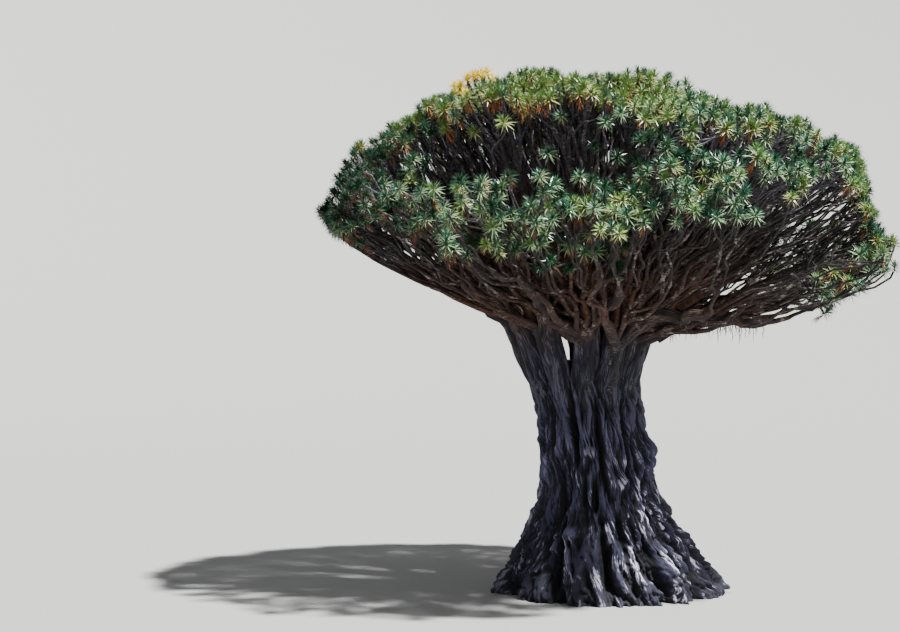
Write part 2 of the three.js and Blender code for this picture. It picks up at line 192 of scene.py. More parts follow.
def stemRadius(tier, k, z):
    root = 1 - smooth(0, trunk["rootHeight"], z)
    uneven = trunk["unevenRadius"] * (chance(k, 6) - 0.5) * (1 - smooth(0, forkHeight, z))
    return tier["stemRadius"] * (1 + trunk["rootSwell"] * root + uneven)


def stemPoint(tier, k, z):
    azimuth = stemAzimuth(tier, k)
    turned = azimuth - trunk["twistPerMetre"] * (forkHeight - z)
    uneven = 1 + trunk["unevenReach"] * (chance(k, 5) - 0.5) * (1 - smooth(0, trunk["unevenHeight"], z))
    ring = (trunkHalfWidth(z) - stemRadius(tiers[0], 0, z)) * uneven * tier["ringShare"]
    leansLeft = math.cos(azimuth) * trunkHalfWidth(forkHeight) * tier["ringShare"] < -tier["stemRadius"]
    side = -1 if leansLeft else 1  # the cleft parts the left third from the rest
    cleft = side * trunk["cleftShift"] * smooth(trunk["cleftBottom"], trunk["cleftTop"], z)
    return Vector((trunkAxisX(z) + ring * math.cos(turned) + cleft, ring * math.sin(turned), z))


def boughEnd(tier, azimuth):
    distance = tier["tipReach"] * crownEdge(azimuth)
    height = undersideAt(distance, azimuth)
    slope = (undersideAt(distance + 0.1, azimuth) - height) / 0.1
    out = Vector((math.cos(azimuth), math.sin(azimuth), 0))
    tip = out * distance + Vector((crownCentreX, 0, tier.get("tipHeight", height + tier.get("tipRise", 0))))
    out.z = tier.get("endRise", slope)
    return tip, out.normalized()


def bezier(a, b, c, d, t):
    s = 1 - t
    return a * (s * s * s) + b * (3 * s * s * t) + c * (3 * s * t * t) + d * (t * t * t)


def boughCurve(tier, k):  # the four points of the curve that a bough follows, and its first radius
    start = stemPoint(tier, k, forkHeight)
    heading = (start - stemPoint(tier, k, forkHeight - bough["headingFrom"])).normalized()
    tip, ending = boughEnd(tier, stemAzimuth(tier, k))
    length = (tip - start).length
    return (start, start + heading * length * bough["startHandle"],
            tip - ending * length * bough["endHandle"], tip), stemRadius(tier, k, forkHeight)


# Helpers for meshes and for node trees

def linked(name, data):
    made = bpy.data.objects.new(name, data)
    bpy.context.scene.collection.objects.link(made)
    return made


def markPoints(mesh, name, kind, values):  # a value or a vector on each point, for materials and node trees
    field = "vector" if kind == "FLOAT_VECTOR" else "value"
    mesh.attributes.new(name, kind, "POINT").data.foreach_set(field, np.ravel(values).tolist())


def meshPiece(name, points, faces, material, shadeSmooth=True):
    mesh = bpy.data.meshes.new(name)
    mesh.from_pydata(np.asarray(points).tolist(), [], [list(face) for face in faces])
    mesh.polygons.foreach_set("use_smooth", [shadeSmooth] * len(mesh.polygons))
    mesh.materials.append(material)
    return linked(name, mesh)


def pointsPiece(name, points, edges=(), marks=()):  # a bare mesh that a node tree grows on
    mesh = bpy.data.meshes.new(name)
    mesh.from_pydata(np.asarray(points).tolist(), list(edges), [])
    for label, kind, values in marks:
        markPoints(mesh, label, kind, values)
    return linked(name, mesh)


class Sheet:  # a node tree, where node() adds one node: its type, its settings, then its inputs
    def __init__(self, tree):
        self.tree = tree

    def node(self, kind, settings=None, inputs=None, out=0):
        made = self.tree.nodes.new(kind)
        for key, value in (settings or {}).items():
            setattr(made, key, value)
        for key, value in (inputs or {}).items():
            if isinstance(value, Wire):
                self.tree.links.new(value.socket, made.inputs[key])
            else:
                made.inputs[key].default_value = value
        return Wire(self, made.outputs[out]) if len(made.outputs) else None


class Wire:  # a socket that can be added, multiplied and so on
    def __init__(self, sheet, socket):
        self.sheet = sheet
        self.socket = socket

    def reckon(self, operation, *others):
        return self.sheet.node("ShaderNodeMath", {"operation": operation}, dict(enumerate((self,) + others)))

    def __add__(self, other):
        return self.reckon("ADD", other)

    def __mul__(self, other):
        return self.reckon("MULTIPLY", other)

    def __sub__(self, other):
        return self.reckon("SUBTRACT", other)

    def __rsub__(self, other):
        return self.sheet.node("ShaderNodeMath", {"operation": "SUBTRACT"}, {0: other, 1: self})

    def __truediv__(self, other):
        return self.reckon("DIVIDE", other)

    def __pow__(self, other):
        return self.reckon("POWER", other)

    def __neg__(self):
        return self * -1

    def between(self, low, high):  # 0 at low, 1 at high, smooth on the way
        return self.sheet.node("ShaderNodeMapRange", {"interpolation_type": "SMOOTHSTEP"},
                               {0: self, 1: low, 2: high, 3: 0.0, 4: 1.0})

    def tint(self, other, share):  # this colour, and the other one by a share
        return self.sheet.node("ShaderNodeMix", {"data_type": "RGBA"}, {0: share, 6: self, 7: other}, out=2)


def growTree(name, sockets):  # a geometry tree with named inputs: (name, type, value)
    tree = bpy.data.node_groups.new(name, "GeometryNodeTree")
    tree.interface.new_socket("Geometry", in_out="INPUT", socket_type="NodeSocketGeometry")
    tree.interface.new_socket("Geometry", in_out="OUTPUT", socket_type="NodeSocketGeometry")
    for label, kind, value in sockets:
        made = tree.interface.new_socket(label, in_out="INPUT", socket_type="NodeSocket" + kind)
        if value is not None:
            made.default_value = value
    sheet = Sheet(tree)
    entry = tree.nodes.new("NodeGroupInput")
    return sheet, {socket.name: Wire(sheet, socket) for socket in entry.outputs if socket.name}


def endTree(sheet, geometry, material):
    whole = sheet.node("GeometryNodeRealizeInstances", None, {0: geometry})
    painted = sheet.node("GeometryNodeSetMaterial", None, {0: whole, 2: material})
    sheet.node("NodeGroupOutput", None, {0: painted})
    return sheet.tree


def grown(base, tree, values, name):  # the plain mesh that the tree grows on the base
    modifier = base.modifiers.new("grow", "NODES")
    modifier.node_group = tree
    for item in tree.interface.items_tree:
        if item.in_out == "INPUT" and item.name in values:
            modifier[item.identifier] = values[item.name]
    bpy.context.view_layer.update()
    depsgraph = bpy.context.evaluated_depsgraph_get()
    mesh = bpy.data.meshes.new_from_object(base.evaluated_get(depsgraph))
    base.modifiers.remove(modifier)
    mesh.name = name
    for extra in [a.name for a in mesh.attributes if a.name in ("girth", "aim", "turn", "size", "kind")]:
        mesh.attributes.remove(mesh.attributes[extra])
    bpy.data.objects.remove(base)
    return linked(name, mesh)


def finished(piece, slot, *nodes):
    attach(piece, "root")
    if nodes:
        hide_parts(*nodes)
    print("made", piece.name, len(piece.data.polygons), "faces")


def nodesNamed(*starts):
    return [name for name in frame["nodes"] if name.startswith(starts)]


# Materials

def surface(name, roughness):
    material = bpy.data.materials.new(name)
    material.use_nodes = True
    shader = material.node_tree.nodes["Principled BSDF"]
    shader.inputs["Roughness"].default_value = roughness
    return material, shader, Sheet(material.node_tree)


def rgb(red, green, blue):  # 0 to 255 as a screen shows it
    return tuple((v / 255) ** 2.2 for v in (red, green, blue)) + (1.0,)


barkLook = {
    # gully, body and ridge are bluish as painted skylight shade
    "gully": rgb(4, 5, 19), "body": rgb(17, 17, 36), "ridge": rgb(62, 61, 86), "pale": rgb(197, 195, 214),
    "weatheredAndLit": rgb(96, 92, 100), "umber": rgb(28, 21, 18), "tan": rgb(96, 67, 47),
    "straw": rgb(158, 140, 124), "roughness": 0.86, "fibreScale": 15.0, "finer": 2.4, "patchScale": 1.3,
    "bumpDistance": 0.06,
    # where a colour starts and where it is full, by how far the bark stands out
    "streaks": (0.42, 0.58), "bodyFrom": (0.42, 0.86), "ridgeFrom": (0.9, 1.6), "tanFrom": (0.45, 0.95),
    "strawFrom": (1.0, 1.3), "umberTo": (0.3, 0.8), "paleFrom": (1.4, 1.8), "palePatches": (0.58, 0.67),
    # and by place, in metres: height, left to right, front to back
    "ridgeHeights": (0.2, 4.4), "weatheredAndLitHeights": (5.0, 7.2), "brownHeights": (8.4, 10.4),
    "footShadeHeights": (0.0, 1.5), "footHeights": (0.0, 1.1), "paleHeights": (3.0, 6.0),
    "paleSide": (-1.8, 0.4), "greyBehind": (-0.9, 1.2),
}
limbLook = {
    "dark": rgb(9, 7, 7), "warm": rgb(88, 51, 28), "grey": rgb(40, 33, 31), "pale": rgb(160, 152, 146),
    "slate": rgb(36, 34, 40), "ash": rgb(108, 103, 116), "roughness": 0.85, "noiseScale": 2.2,
    "ringScale": 8.0, "bumpDistance": 0.03, "paleSpots": (0.84, 1.06), "darkRings": (0.36, 0.6),
    # by place, in metres: distance from the middle, height, left to right
    "axisShift": 1.0, "warmReach": (3.6, 8.0), "slateHeights": (8.2, 9.6), "ashHeights": (11.2, 14.5),
    "ashReach": (5.6, 7.0), "paleSide": (1.0, 6.0), "shadeReach": (4.4, 6.6), "shadeHeights": (10.8, 12.4),
}


def noiseOf(sheet, place, scale, detail=4.0, roughness=0.6):
    return sheet.node("ShaderNodeTexNoise", None, {"Vector": place, "Scale": scale, "Detail": detail,
                                                   "Roughness": roughness})


def placeOf(sheet, scale=(1, 1, 1)):
    place = sheet.node("ShaderNodeTexCoord", out=3)
    return sheet.node("ShaderNodeMapping", None, {"Vector": place, "Scale": scale})


def partsOf(sheet, place):  # x, y and z apart
    return [sheet.node("ShaderNodeSeparateXYZ", None, {0: place}, out=i) for i in range(3)]


def colourNode(sheet, colour):
    return sheet.node("ShaderNodeMix", {"data_type": "RGBA"}, {0: 0.0, 6: colour, 7: colour}, out=2)


def paint(sheet, shader, colour, height, strength, distance):  # the colour and the bump go into the shader
    bump = sheet.node("ShaderNodeBump", None, {"Strength": strength, "Distance": distance, "Height": height})
    sheet.tree.links.new(colour.socket, shader.inputs["Base Color"])
    sheet.tree.links.new(bump.socket, shader.inputs["Normal"])


def barkMaterial(name):  # grey on the trunk, brown among the boughs, with painted shade in the furrows, painted highlight on the ridges and pale painted sun flecks on the root flare
    look = barkLook
    material, shader, sheet = surface(name, look["roughness"])
    flow = sheet.node("ShaderNodeAttribute", {"attribute_name": "flow"}, out=1)
    relief = sheet.node("ShaderNodeAttribute", {"attribute_name": "relief"}, out=2)
    fibres = noiseOf(sheet, flow, look["fibreScale"], 7.0, 0.72)
    fine = noiseOf(sheet, flow, look["fibreScale"] * look["finer"], 5.0, 0.7)
    patches = noiseOf(sheet, placeOf(sheet, (1, 1, 0.6)), look["patchScale"], 4.0)
    side, back, height = partsOf(sheet, placeOf(sheet))
    streaks = (fibres * 0.5 + fine * 0.5).between(*look["streaks"])
    # grey: dark gullies and lighter ridges by relief, which are painted shade in the gullies and painted
    # highlight on the ridges, with fewer lit ridges low down as painted shade at the base; ash-coloured
    # higher up, partly the bark's tone and partly painted highlight on the ridges
    colour = colourNode(sheet, look["gully"])
    colour = colour.tint(look["body"], (relief + streaks * 0.5).between(*look["bodyFrom"]))
    proud = (relief + streaks * 0.9).between(*look["ridgeFrom"])
    colour = colour.tint(look["ridge"], proud * (height.between(*look["ridgeHeights"]) * 0.75 + 0.25))
    colour = colour.tint(look["weatheredAndLit"], proud * height.between(*look["weatheredAndLitHeights"]) * 0.5)
    # brown, which takes over among the boughs: umber in its furrows is painted shade, straw on its proudest
    # ridges painted highlight
    brown = colourNode(sheet, look["umber"])
    brown = brown.tint(look["tan"], (relief * 0.6 + streaks * 0.6).between(*look["tanFrom"]))
    brown = brown.tint(look["straw"], (relief * 0.6 + streaks * 0.8).between(*look["strawFrom"]) * 0.6)
    brown = brown.tint(look["umber"], 1 - (relief + streaks * 0.4).between(*look["umberTo"]))
    colour = colour.tint(brown, (height + patches * 2.0).between(*look["brownHeights"]) * 0.9)
    # darkened near the ground, a painted shade at the foot; bluish in front and plain grey behind
    colour = colour.tint(look["gully"], (1 - height.between(*look["footShadeHeights"])) * 0.4)
    # the bark's blue is painted skylight shade: it is kept in front and greyed out behind
    grey = 1 - back.between(*look["greyBehind"]) * 0.6
    colour = sheet.node("ShaderNodeHueSaturation", None, {"Saturation": grey, "Color": colour})
    # pale painted sun flecks on the proudest ridges of the root flare, most of all in the middle and to the
    # right
    sunFlecks = (relief + streaks * 0.9).between(*look["paleFrom"])
    sunFlecks = sunFlecks * (patches * 0.8 + streaks * 0.25).between(*look["palePatches"])
    sunFlecks = sunFlecks * (side.between(*look["paleSide"]) * 0.65 + 0.35)
    sunFlecks = sunFlecks * (height.between(*look["footHeights"]) * 0.5 + 0.5)
    colour = colour.tint(look["pale"], sunFlecks * (1 - height.between(*look["paleHeights"])))
    paint(sheet, shader, colour, fibres + fine * 0.5, 1.0, look["bumpDistance"])
    return material


def limbMaterial(name, warmth, paleness):  # limbs and twigs: brown inside the crown, grey further out
    look = limbLook
    material, shader, sheet = surface(name, look["roughness"])
    blotches = noiseOf(sheet, placeOf(sheet), look["noiseScale"], 5.0)
    rings = noiseOf(sheet, placeOf(sheet, (1, 1, 2.6)), look["ringScale"], 6.0, 0.7)
    x, y, z = partsOf(sheet, placeOf(sheet))
    reach = ((x + look["axisShift"]) * (x + look["axisShift"]) + y * y) ** 0.5
    inner = 1 - (reach + (z - 9.0) * 0.6).between(*look["warmReach"])
    colour = colourNode(sheet, look["grey"]).tint(look["warm"], inner * warmth)
    colour = colour.tint(look["slate"], 1 - (z + blotches).between(*look["slateHeights"]))
    outer = reach.between(*look["ashReach"]) * 0.9 + 0.7
    colour = colour.tint(look["ash"], z.between(*look["ashHeights"]) * paleness * outer)
    # pale spots, more of them to the right: a painted highlight of sunlit streaks on the bark
    sunGlints = (blotches + rings * 0.6).between(*look["paleSpots"])
    sunGlints = sunGlints * (x.between(*look["paleSide"]) * 0.5 + 1.0)
    colour = colour.tint(look["pale"], sunGlints * paleness)
    deep = (1 - reach.between(*look["shadeReach"])) * z.between(*look["shadeHeights"])
    colour = colour.tint(look["dark"], deep * 0.5)  # painted shade deep inside the crown
    colour = colour.tint(look["dark"], 1 - rings.between(*look["darkRings"]))
    paint(sheet, shader, colour, rings + blotches * 0.5, 0.8, look["bumpDistance"])
    return material


def plainMaterial(name, colour, roughness=0.5):
    material, shader, _ = surface(name, roughness)
    shader.inputs["Base Color"].default_value = colour
    return material


trunkBark = barkMaterial("trunk bark")
boughBark = barkMaterial("bough bark")
limbBark = limbMaterial("limb bark", 0.85, 0.45)
twigBark = limbMaterial("twig bark", 0.5, 0.7)
print("materials ready")


# Trunk: strands of fused stem round the axis, read as one distance for each way and height

trunkDetail = {
    "columns": 560, "rows": 172, "rowPower": 1.06, "top": 7.5, "sinkFrom": 6.0, "sink": 0.3,
    "closeFrom": 7.1, "fibre": 0.05, "grain": 0.02, "hollow": 0.1, "deeper": 0.95, "knob": 0.05,
    "knobTop": 3.6, "warp": 0.22, "warpTop": 5.6, "rootedTop": 3.4, "pulse": 0.16, "burlPower": 1.2,
    "stemShare": 0.98, "coreShare": 1.02, "ripple": 0.006, "flowRadius": 1.6, "flowRise": 0.06,
    # cells round and up the trunk for each kind of unevenness
    "warpCells": (9, 7), "fibreCells": (120, 6), "grainCells": (230, 14), "roughCells": (60, 26),
    "knobCells": (110, 34), "pebbleCells": (210, 70),
    # coats of strands on the stems: how many, how thick, how proud, how far they stray and fan out
    "strands": (
        {"count": 46, "radius": (0.12, 0.26), "proud": 0.12, "stray": 0.1, "wave": 0.7, "mark": 0,
         "fan": 0.2, "low": 0},
        {"count": 96, "radius": (0.07, 0.13), "proud": 0.06, "stray": 0.05, "wave": 1.1, "mark": 300,
         "fan": 0.42, "low": 3.6},
        {"count": 150, "radius": (0.04, 0.08), "proud": 0.03, "stray": 0.04, "wave": 1.7, "mark": 600,
         "fan": 0.3, "low": 0},
    ),
}
# burls and gullies that show: left-right place on the front, height, size across and along, how proud
burls = [
    (-0.78, 4.62, 0.16, 0.2, 0.2), (-1.33, 2.1, 0.24, 0.22, 0.26), (1.25, 1.0, 0.36, 0.4, 0.2),
    (0.92, 4.5, 0.22, 0.66, 0.36), (0.15, 3.6, 0.22, 0.26, 0.24), (-1.2, 1.2, 0.6, 0.95, 0.26),
    (-1.95, 4.2, 0.16, 0.6, 0.16), (2.1, 1.7, 0.2, 0.6, 0.14), (-0.4, 1.1, 0.16, 1.3, -0.34),
    (-0.45, 4.6, 0.11, 1.3, -0.26), (0.55, 1.9, 0.3, 0.8, 0.18), (-1.27, 5.3, 0.11, 1.2, -0.24),
    (0.3, 5.5, 0.13, 0.9, -0.28), (0.62, 4.3, 0.09, 0.8, -0.22), (-1.62, 3.2, 0.11, 0.9, -0.18),
    (0.94, 1.5, 0.12, 1.0, -0.24), (-1.7, 1.4, 0.12, 0.9, -0.2), (1.8, 1.1, 0.11, 0.8, -0.2),
    (0.2, 1.6, 0.1, 1.2, -0.2), (-0.95, 3.1, 0.1, 0.9, -0.18),
]


def lattice(u, v, channel, across, along):  # soft noise from a table of cells that closes on itself across
    table = np.random.default_rng(seed * 100 + channel).random((along + 2, across))
    x = (u % 1.0) * across
    y = np.clip(v, 0, 1) * along
    i, j = np.floor(x).astype(int), np.floor(y).astype(int)
    fx, fy = x - i, y - j
    fx, fy = fx * fx * (3 - 2 * fx), fy * fy * (3 - 2 * fy)
    i0, i1, j0, j1 = i % across, (i + 1) % across, np.minimum(j, along), np.minimum(j + 1, along + 1)
    low = table[j0, i0] * (1 - fx) + table[j0, i1] * fx
    high = table[j1, i0] * (1 - fx) + table[j1, i1] * fx
    return low * (1 - fy) + high * fy


def fineStrand(coat, k, z):  # azimuth, radius and how far out of the stems a strand stands
    mark = k + coat["mark"]
    thin, thick = coat["radius"]
    base = 2 * math.pi * (k + 0.8 * chance(mark, 21)) / coat["count"]
    pace = coat["wave"] * (0.8 + chance(mark, 22))
    waves = math.sin(z * pace + 6.3 * chance(mark, 23))
    waves += 0.4 * math.sin(z * pace * 2.3 + 9 * chance(mark, 24))
    rooted = 1 - smooth(0, trunkDetail["rootedTop"], z)
    azimuth = base - trunk["twistPerMetre"] * (forkHeight - z) + coat["stray"] * waves
    azimuth += coat["fan"] * (chance(mark, 30) - 0.5) * rooted * 2
    pulse = 1 + trunkDetail["pulse"] * math.sin(z * (1.0 + chance(mark, 25)) + 7 * chance(mark, 26))
    radius = (thin + (thick - thin) * chance(mark, 27) ** 1.5) * pulse * (1 + 0.5 * rooted)
    proud = coat["proud"] * (0.6 + 0.7 * chance(mark, 28) + 0.4 * math.sin(z * 0.8 + 5 * chance(mark, 29)))
    if coat["low"]:
        proud *= 1.6 * (1 - smooth(coat["low"] - 1.8, coat["low"], z))
    return azimuth, radius, min(proud, radius * 0.8)


def furrows(field, power):  # broad tops with narrow furrows between
    return np.abs(2 * field - 1) ** power


def blurred(grid, across, along):  # the mean of a patch round each point
    total = np.zeros_like(grid)
    for step in range(-4, 5):
        total += np.roll(grid, step * across // 4, axis=1)
    padded = np.pad(total / 9, ((along, along), (0, 0)), mode="edge")
    rows = grid.shape[0]
    return sum(padded[step:step + rows] for step in range(0, 2 * along + 1, 2)) / (along + 1)


def reachOf(circles, ways):  # how far the circles (x, y, radius) reach from the axis, each way
    x, y, radius = (np.array(column)[:, None] for column in zip(*circles))
    along = x * np.cos(ways) + y * np.sin(ways)
    inside = radius ** 2 - (x * x + y * y) + along ** 2
    return np.where((inside > 0) & (along > 0), along + np.sqrt(np.maximum(inside, 0)), 0).max(axis=0)


def ringReach(z, ways):  # the stems at one height, and the coats of strands that lie on them
    rim, columns = tiers[0], len(ways)
    middle = Vector((trunkAxisX(z), 0, z))
    circles = []
    for k in range(rim["count"]):
        place = stemPoint(rim, k, z) - middle
        circles.append((place.x, place.y, stemRadius(rim, k, z) * trunkDetail["stemShare"]))
    core = (trunkHalfWidth(z) - stemRadius(rim, 0, z)) * trunkDetail["coreShare"]
    best = np.maximum(reachOf(circles, ways), core)
    for coat in trunkDetail["strands"]:
        seat = sum(np.roll(best, step) for step in range(-4, 5)) / 9  # smoothed, so that no strand jumps
        circles = []
        for k in range(coat["count"]):
            azimuth, radius, proud = fineStrand(coat, k, z)
            ring = seat[int((azimuth / (2 * math.pi)) % 1 * columns) % columns] - radius + proud
            circles.append((ring * math.cos(azimuth), ring * math.sin(azimuth), radius))
        best = np.maximum(best, reachOf(circles, ways))
    return best


def burlOn(burl, theta, heights):  # one burl, or a gully where it is negative
    across, height, sizeAcross, sizeAlong, proud = burl
    width = trunkHalfWidth(height)
    at = -math.acos(max(-1, min(1, (across - trunkAxisX(height)) / width)))
    away = (np.abs((theta[None, :] - at + np.pi) % (2 * np.pi) - np.pi) * width / sizeAcross) ** 2
    away = away + ((heights[:, None] - height) / sizeAlong) ** 2
    return proud * np.exp(-away ** trunkDetail["burlPower"])


def trunkSurface():  # its points row by row, how far each stands out, and the flow of its fibres
    look = trunkDetail
    columns, rows, top = look["columns"], look["rows"], look["top"]
    theta = np.linspace(0, 2 * np.pi, columns, endpoint=False)
    heights = np.linspace(0, 1, rows) ** look["rowPower"] * top
    u = np.tile(theta / (2 * np.pi), (rows, 1))
    v = np.tile((heights / top)[:, None], (1, columns))
    loose = 1 - np.clip(heights / look["warpTop"], 0, 1) ** 3
    around = theta[None, :] + look["warp"] * (lattice(u, v, 4, *look["warpCells"]) - 0.5) * loose[:, None]
    reach = np.array([ringReach(float(z), ways) for z, ways in zip(heights, around)])
    twisted = u + v * trunk["twistPerMetre"] * top / (2 * np.pi) + look["ripple"] * np.sin(v * 23 + u * 40)
    reach += look["fibre"] * (furrows(lattice(twisted, v, 1, *look["fibreCells"]), 0.6) - 0.6) * 2
    reach += look["grain"] * (furrows(lattice(twisted, v, 2, *look["grainCells"]), 0.7) - 0.5) * 2
    rough = 0.8 + 0.4 * lattice(u, v, 3, *look["roughCells"])
    for burl in burls:
        reach += burlOn(burl, theta, heights) * rough
    foot = 1 - np.clip(heights / look["knobTop"], 0, 1)[:, None] ** 1.5
    reach += look["knob"] * foot * (furrows(lattice(u, v, 5, *look["knobCells"]), 0.8) - 0.4) * 2
    reach += look["knob"] * 0.5 * foot * (lattice(u, v, 6, *look["pebbleCells"]) - 0.5) * 2
    standing = reach - blurred(reach, 12, 5)
    relief = 0.5 + standing / look["hollow"]
    reach += standing * look["deeper"]
    # it sinks among the boughs near its top, and closes there
    sunk = np.clip((heights - look["sinkFrom"]) / (top - look["sinkFrom"]), 0, 1)
    reach -= look["sink"] * sunk[:, None]
    close = np.clip((heights - look["closeFrom"]) / (top - look["closeFrom"]), 0, 1)
    reach *= np.sqrt(np.maximum(0.0, 1 - close ** 2))[:, None] * 0.94 + 0.06
    axis = np.array([trunkAxisX(float(z)) for z in heights])
    z = np.tile(heights[:, None], (1, columns))
    points = np.stack([axis[:, None] + reach * np.cos(theta), reach * np.sin(theta), z], axis=-1)
    turned = 2 * np.pi * twisted
    wide = look["flowRadius"]
    flow = np.stack([wide * np.cos(turned), wide * np.sin(turned), z * look["flowRise"]], axis=-1)
    return points.reshape(-1, 3), relief.ravel(), flow.reshape(-1, 3)


def ringFaces(rings, sides):
    faces = []
    for a in range(0, (rings - 1) * sides, sides):
        for j in range(sides):
            beside = (j + 1) % sides
            faces.append((a + j, a + beside, a + sides + beside, a + sides + j))
    return faces


def closedFaces(rings, sides):  # a tube's, whose two end points come after its rings
    faces = ringFaces(rings, sides)
    first, last = rings * sides, (rings - 1) * sides
    for j in range(sides):
        faces.append((first, (j + 1) % sides, j))
        faces.append((first + 1, last + j, last + (j + 1) % sides))
    return faces


def barkPiece(name, points, faces, relief, flow, material):  # the bark's material reads relief and flow
    piece = meshPiece(name, points, faces, material)
    markPoints(piece.data, "relief", "FLOAT", relief)
    markPoints(piece.data, "flow", "FLOAT_VECTOR", flow)
    return piece


def makeTrunk():
    points, relief, flow = trunkSurface()
    top = float(points[-1][2]) + 0.02
    points = np.vstack([points, [trunkAxisX(0), 0, 0], [trunkAxisX(top), 0, top]])
    relief = np.append(relief, [0.0, 0.5])
    flow = np.vstack([flow, [[0, 0, 0], [0, 0, 1]]])
    faces = closedFaces(trunkDetail["rows"], trunkDetail["columns"])
    finished(barkPiece("trunk_bark_relief", points, faces, relief, flow, trunkBark), "trunk_bark", "trunk")


makeTrunk()


# Boughs: each goes on from its stem, out of the trunk, as a fluted limb with relief of its own

boughDetail = {
    "sides": 24, "spacing": 0.17, "sinkTo": 4.9, "innerSinkTo": 6.4, "leaveAt": 7.6, "slimmer": 0.88,
    "core": 0.84, "sway": (0.06, 0.14), "flute": 0.16, "ridge": 0.12, "lump": 0.08, "drift": 0.05,
    "strands": (7, 5, 4), "strandSides": 10, "strandGirth": (0.26, 0.42), "strandProud": (0.66, 0.12),
}


def smoothPath(points, radii, spacing):  # evenly spaced stations on a smooth line through the points
    points = [Vector(p) for p in points]
    out, girths = [], []
    for i in range(len(points) - 1):
        p0, p1, p2, p3 = points[max(0, i - 1)], points[i], points[i + 1], points[min(len(points) - 1, i + 2)]
        steps = max(1, round((p2 - p1).length / spacing))
        for s in range(steps):
            t = s / steps
            out.append(0.5 * (2 * p1 + (p2 - p0) * t + (2 * p0 - 5 * p1 + 4 * p2 - p3) * t * t
                              + (3 * p1 - p0 - 3 * p2 + p3) * t ** 3))
            girths.append(radii[i] + (radii[i + 1] - radii[i]) * t)
    return out + [points[-1]], girths + [radii[-1]]


def reliefTube(points, radii, sides, kind):  # points, faces, relief and flow, and the axes across it
    count = len(points)
    look = boughDetail
    across = Vector((1, 0, 0))
    travelled, axes = [0.0], []
    for i, centre in enumerate(points):
        heading = (points[min(i + 1, count - 1)] - points[max(i - 1, 0)]).normalized()
        across = (across - heading * across.dot(heading)).normalized()
        axes.append((across, heading.cross(across)))
        if i:
            travelled.append(travelled[-1] + (centre - points[i - 1]).length)
    travelled = np.array(travelled)[:, None]
    u = np.tile(np.arange(sides) / sides, (count, 1))
    v = np.tile(travelled / 20, (1, sides))
    drift = look["drift"] * travelled + 0.04 * np.sin(travelled * 1.1 + kind)
    flutes = furrows(lattice(u + drift, v, 200 + kind, max(2, sides // 5), 13), 0.6)
    ridges = furrows(lattice(u + drift * 1.2, v, 300 + kind, max(3, sides // 2), 34), 0.6)
    lumps = lattice(u, v, 400 + kind, 4, 30)
    relief = 0.5 + 0.7 * (flutes - 0.6) + 0.6 * (ridges - 0.6)
    girth = np.array(radii)[:, None] * (1 + look["flute"] * (flutes - 0.6) + look["ridge"] * (ridges - 0.5)
                                        + look["lump"] * (lumps - 0.5))
    turn = 2 * np.pi * u
    centres = np.array([tuple(p) for p in points])
    side = np.array([tuple(pair[0]) for pair in axes])
    over = np.array([tuple(pair[1]) for pair in axes])
    rings = (centres[:, None] + side[:, None] * (girth * np.cos(turn))[..., None]
             + over[:, None] * (girth * np.sin(turn))[..., None]).reshape(-1, 3)
    swirl = 2 * np.pi * (u + drift)
    flow = np.stack([0.3 * np.cos(swirl) + kind, 0.3 * np.sin(swirl), 0 * u + travelled * 0.1], axis=-1)
    flow = flow.reshape(-1, 3)
    relief = np.append(relief.ravel(), [0.5, 0.5])
    points = np.vstack([rings, centres[[0, -1]]])
    return points, closedFaces(count, sides), relief, np.vstack([flow, flow[[0, -1]]]), axes


def boughPath(tier, k):  # stations from inside the trunk to the bough's tip
    sink = boughDetail["sinkTo"] if tier is tiers[0] else boughDetail["innerSinkTo"]
    leave = boughDetail["leaveAt"]
    heights = [sink, sink + (leave - sink) * 0.3, sink + (leave - sink) * 0.6, leave]
    points = [stemPoint(tier, k, z) for z in heights]
    radii = [stemRadius(tier, k, z) * share for z, share in zip(heights, (0.5, 0.85, 1.0, 1.0))]
    curve, radius = boughCurve(tier, k)
    for i in range(13):
        t = i / 12
        points.append(bezier(*curve, t))
        radii.append(radius + (tier["tipRadius"] - radius) * t ** bough["taperPower"])
        radii[-1] *= 1 + (boughDetail["slimmer"] - 1) * t
    low, high = boughDetail["sway"]
    sway = low + (high - low) * chance(k, 41)
    for i in range(6, len(points) - 1):
        points[i] = points[i] + jitter(i * 7 + k, 42) * sway * 2
    return points, radii


def boughStrand(path, radii, axes, kind, turn):  # a thinner stem that is fused along the bough
    low, high = boughDetail["strandGirth"]
    proud, wave = boughDetail["strandProud"]
    first = int(chance(kind, 81) * 5)
    last = int(len(path) * (0.6 + 0.38 * chance(kind, 82)))
    line, girths = [], []
    for i in range(first, last):
        share = (i - first) / (last - first)
        fade = math.sin(math.pi * share) ** 0.3
        angle = turn + 0.5 * math.sin(share * 6 + kind)
        out = radii[i] * (proud + wave * math.sin(share * 11 + kind)) * fade
        line.append(path[i] + (axes[i][0] * math.cos(angle) + axes[i][1] * math.sin(angle)) * out)
        girths.append(radii[i] * (low + (high - low) * chance(kind, 84)) * (0.4 + 0.6 * fade))
    return line, girths


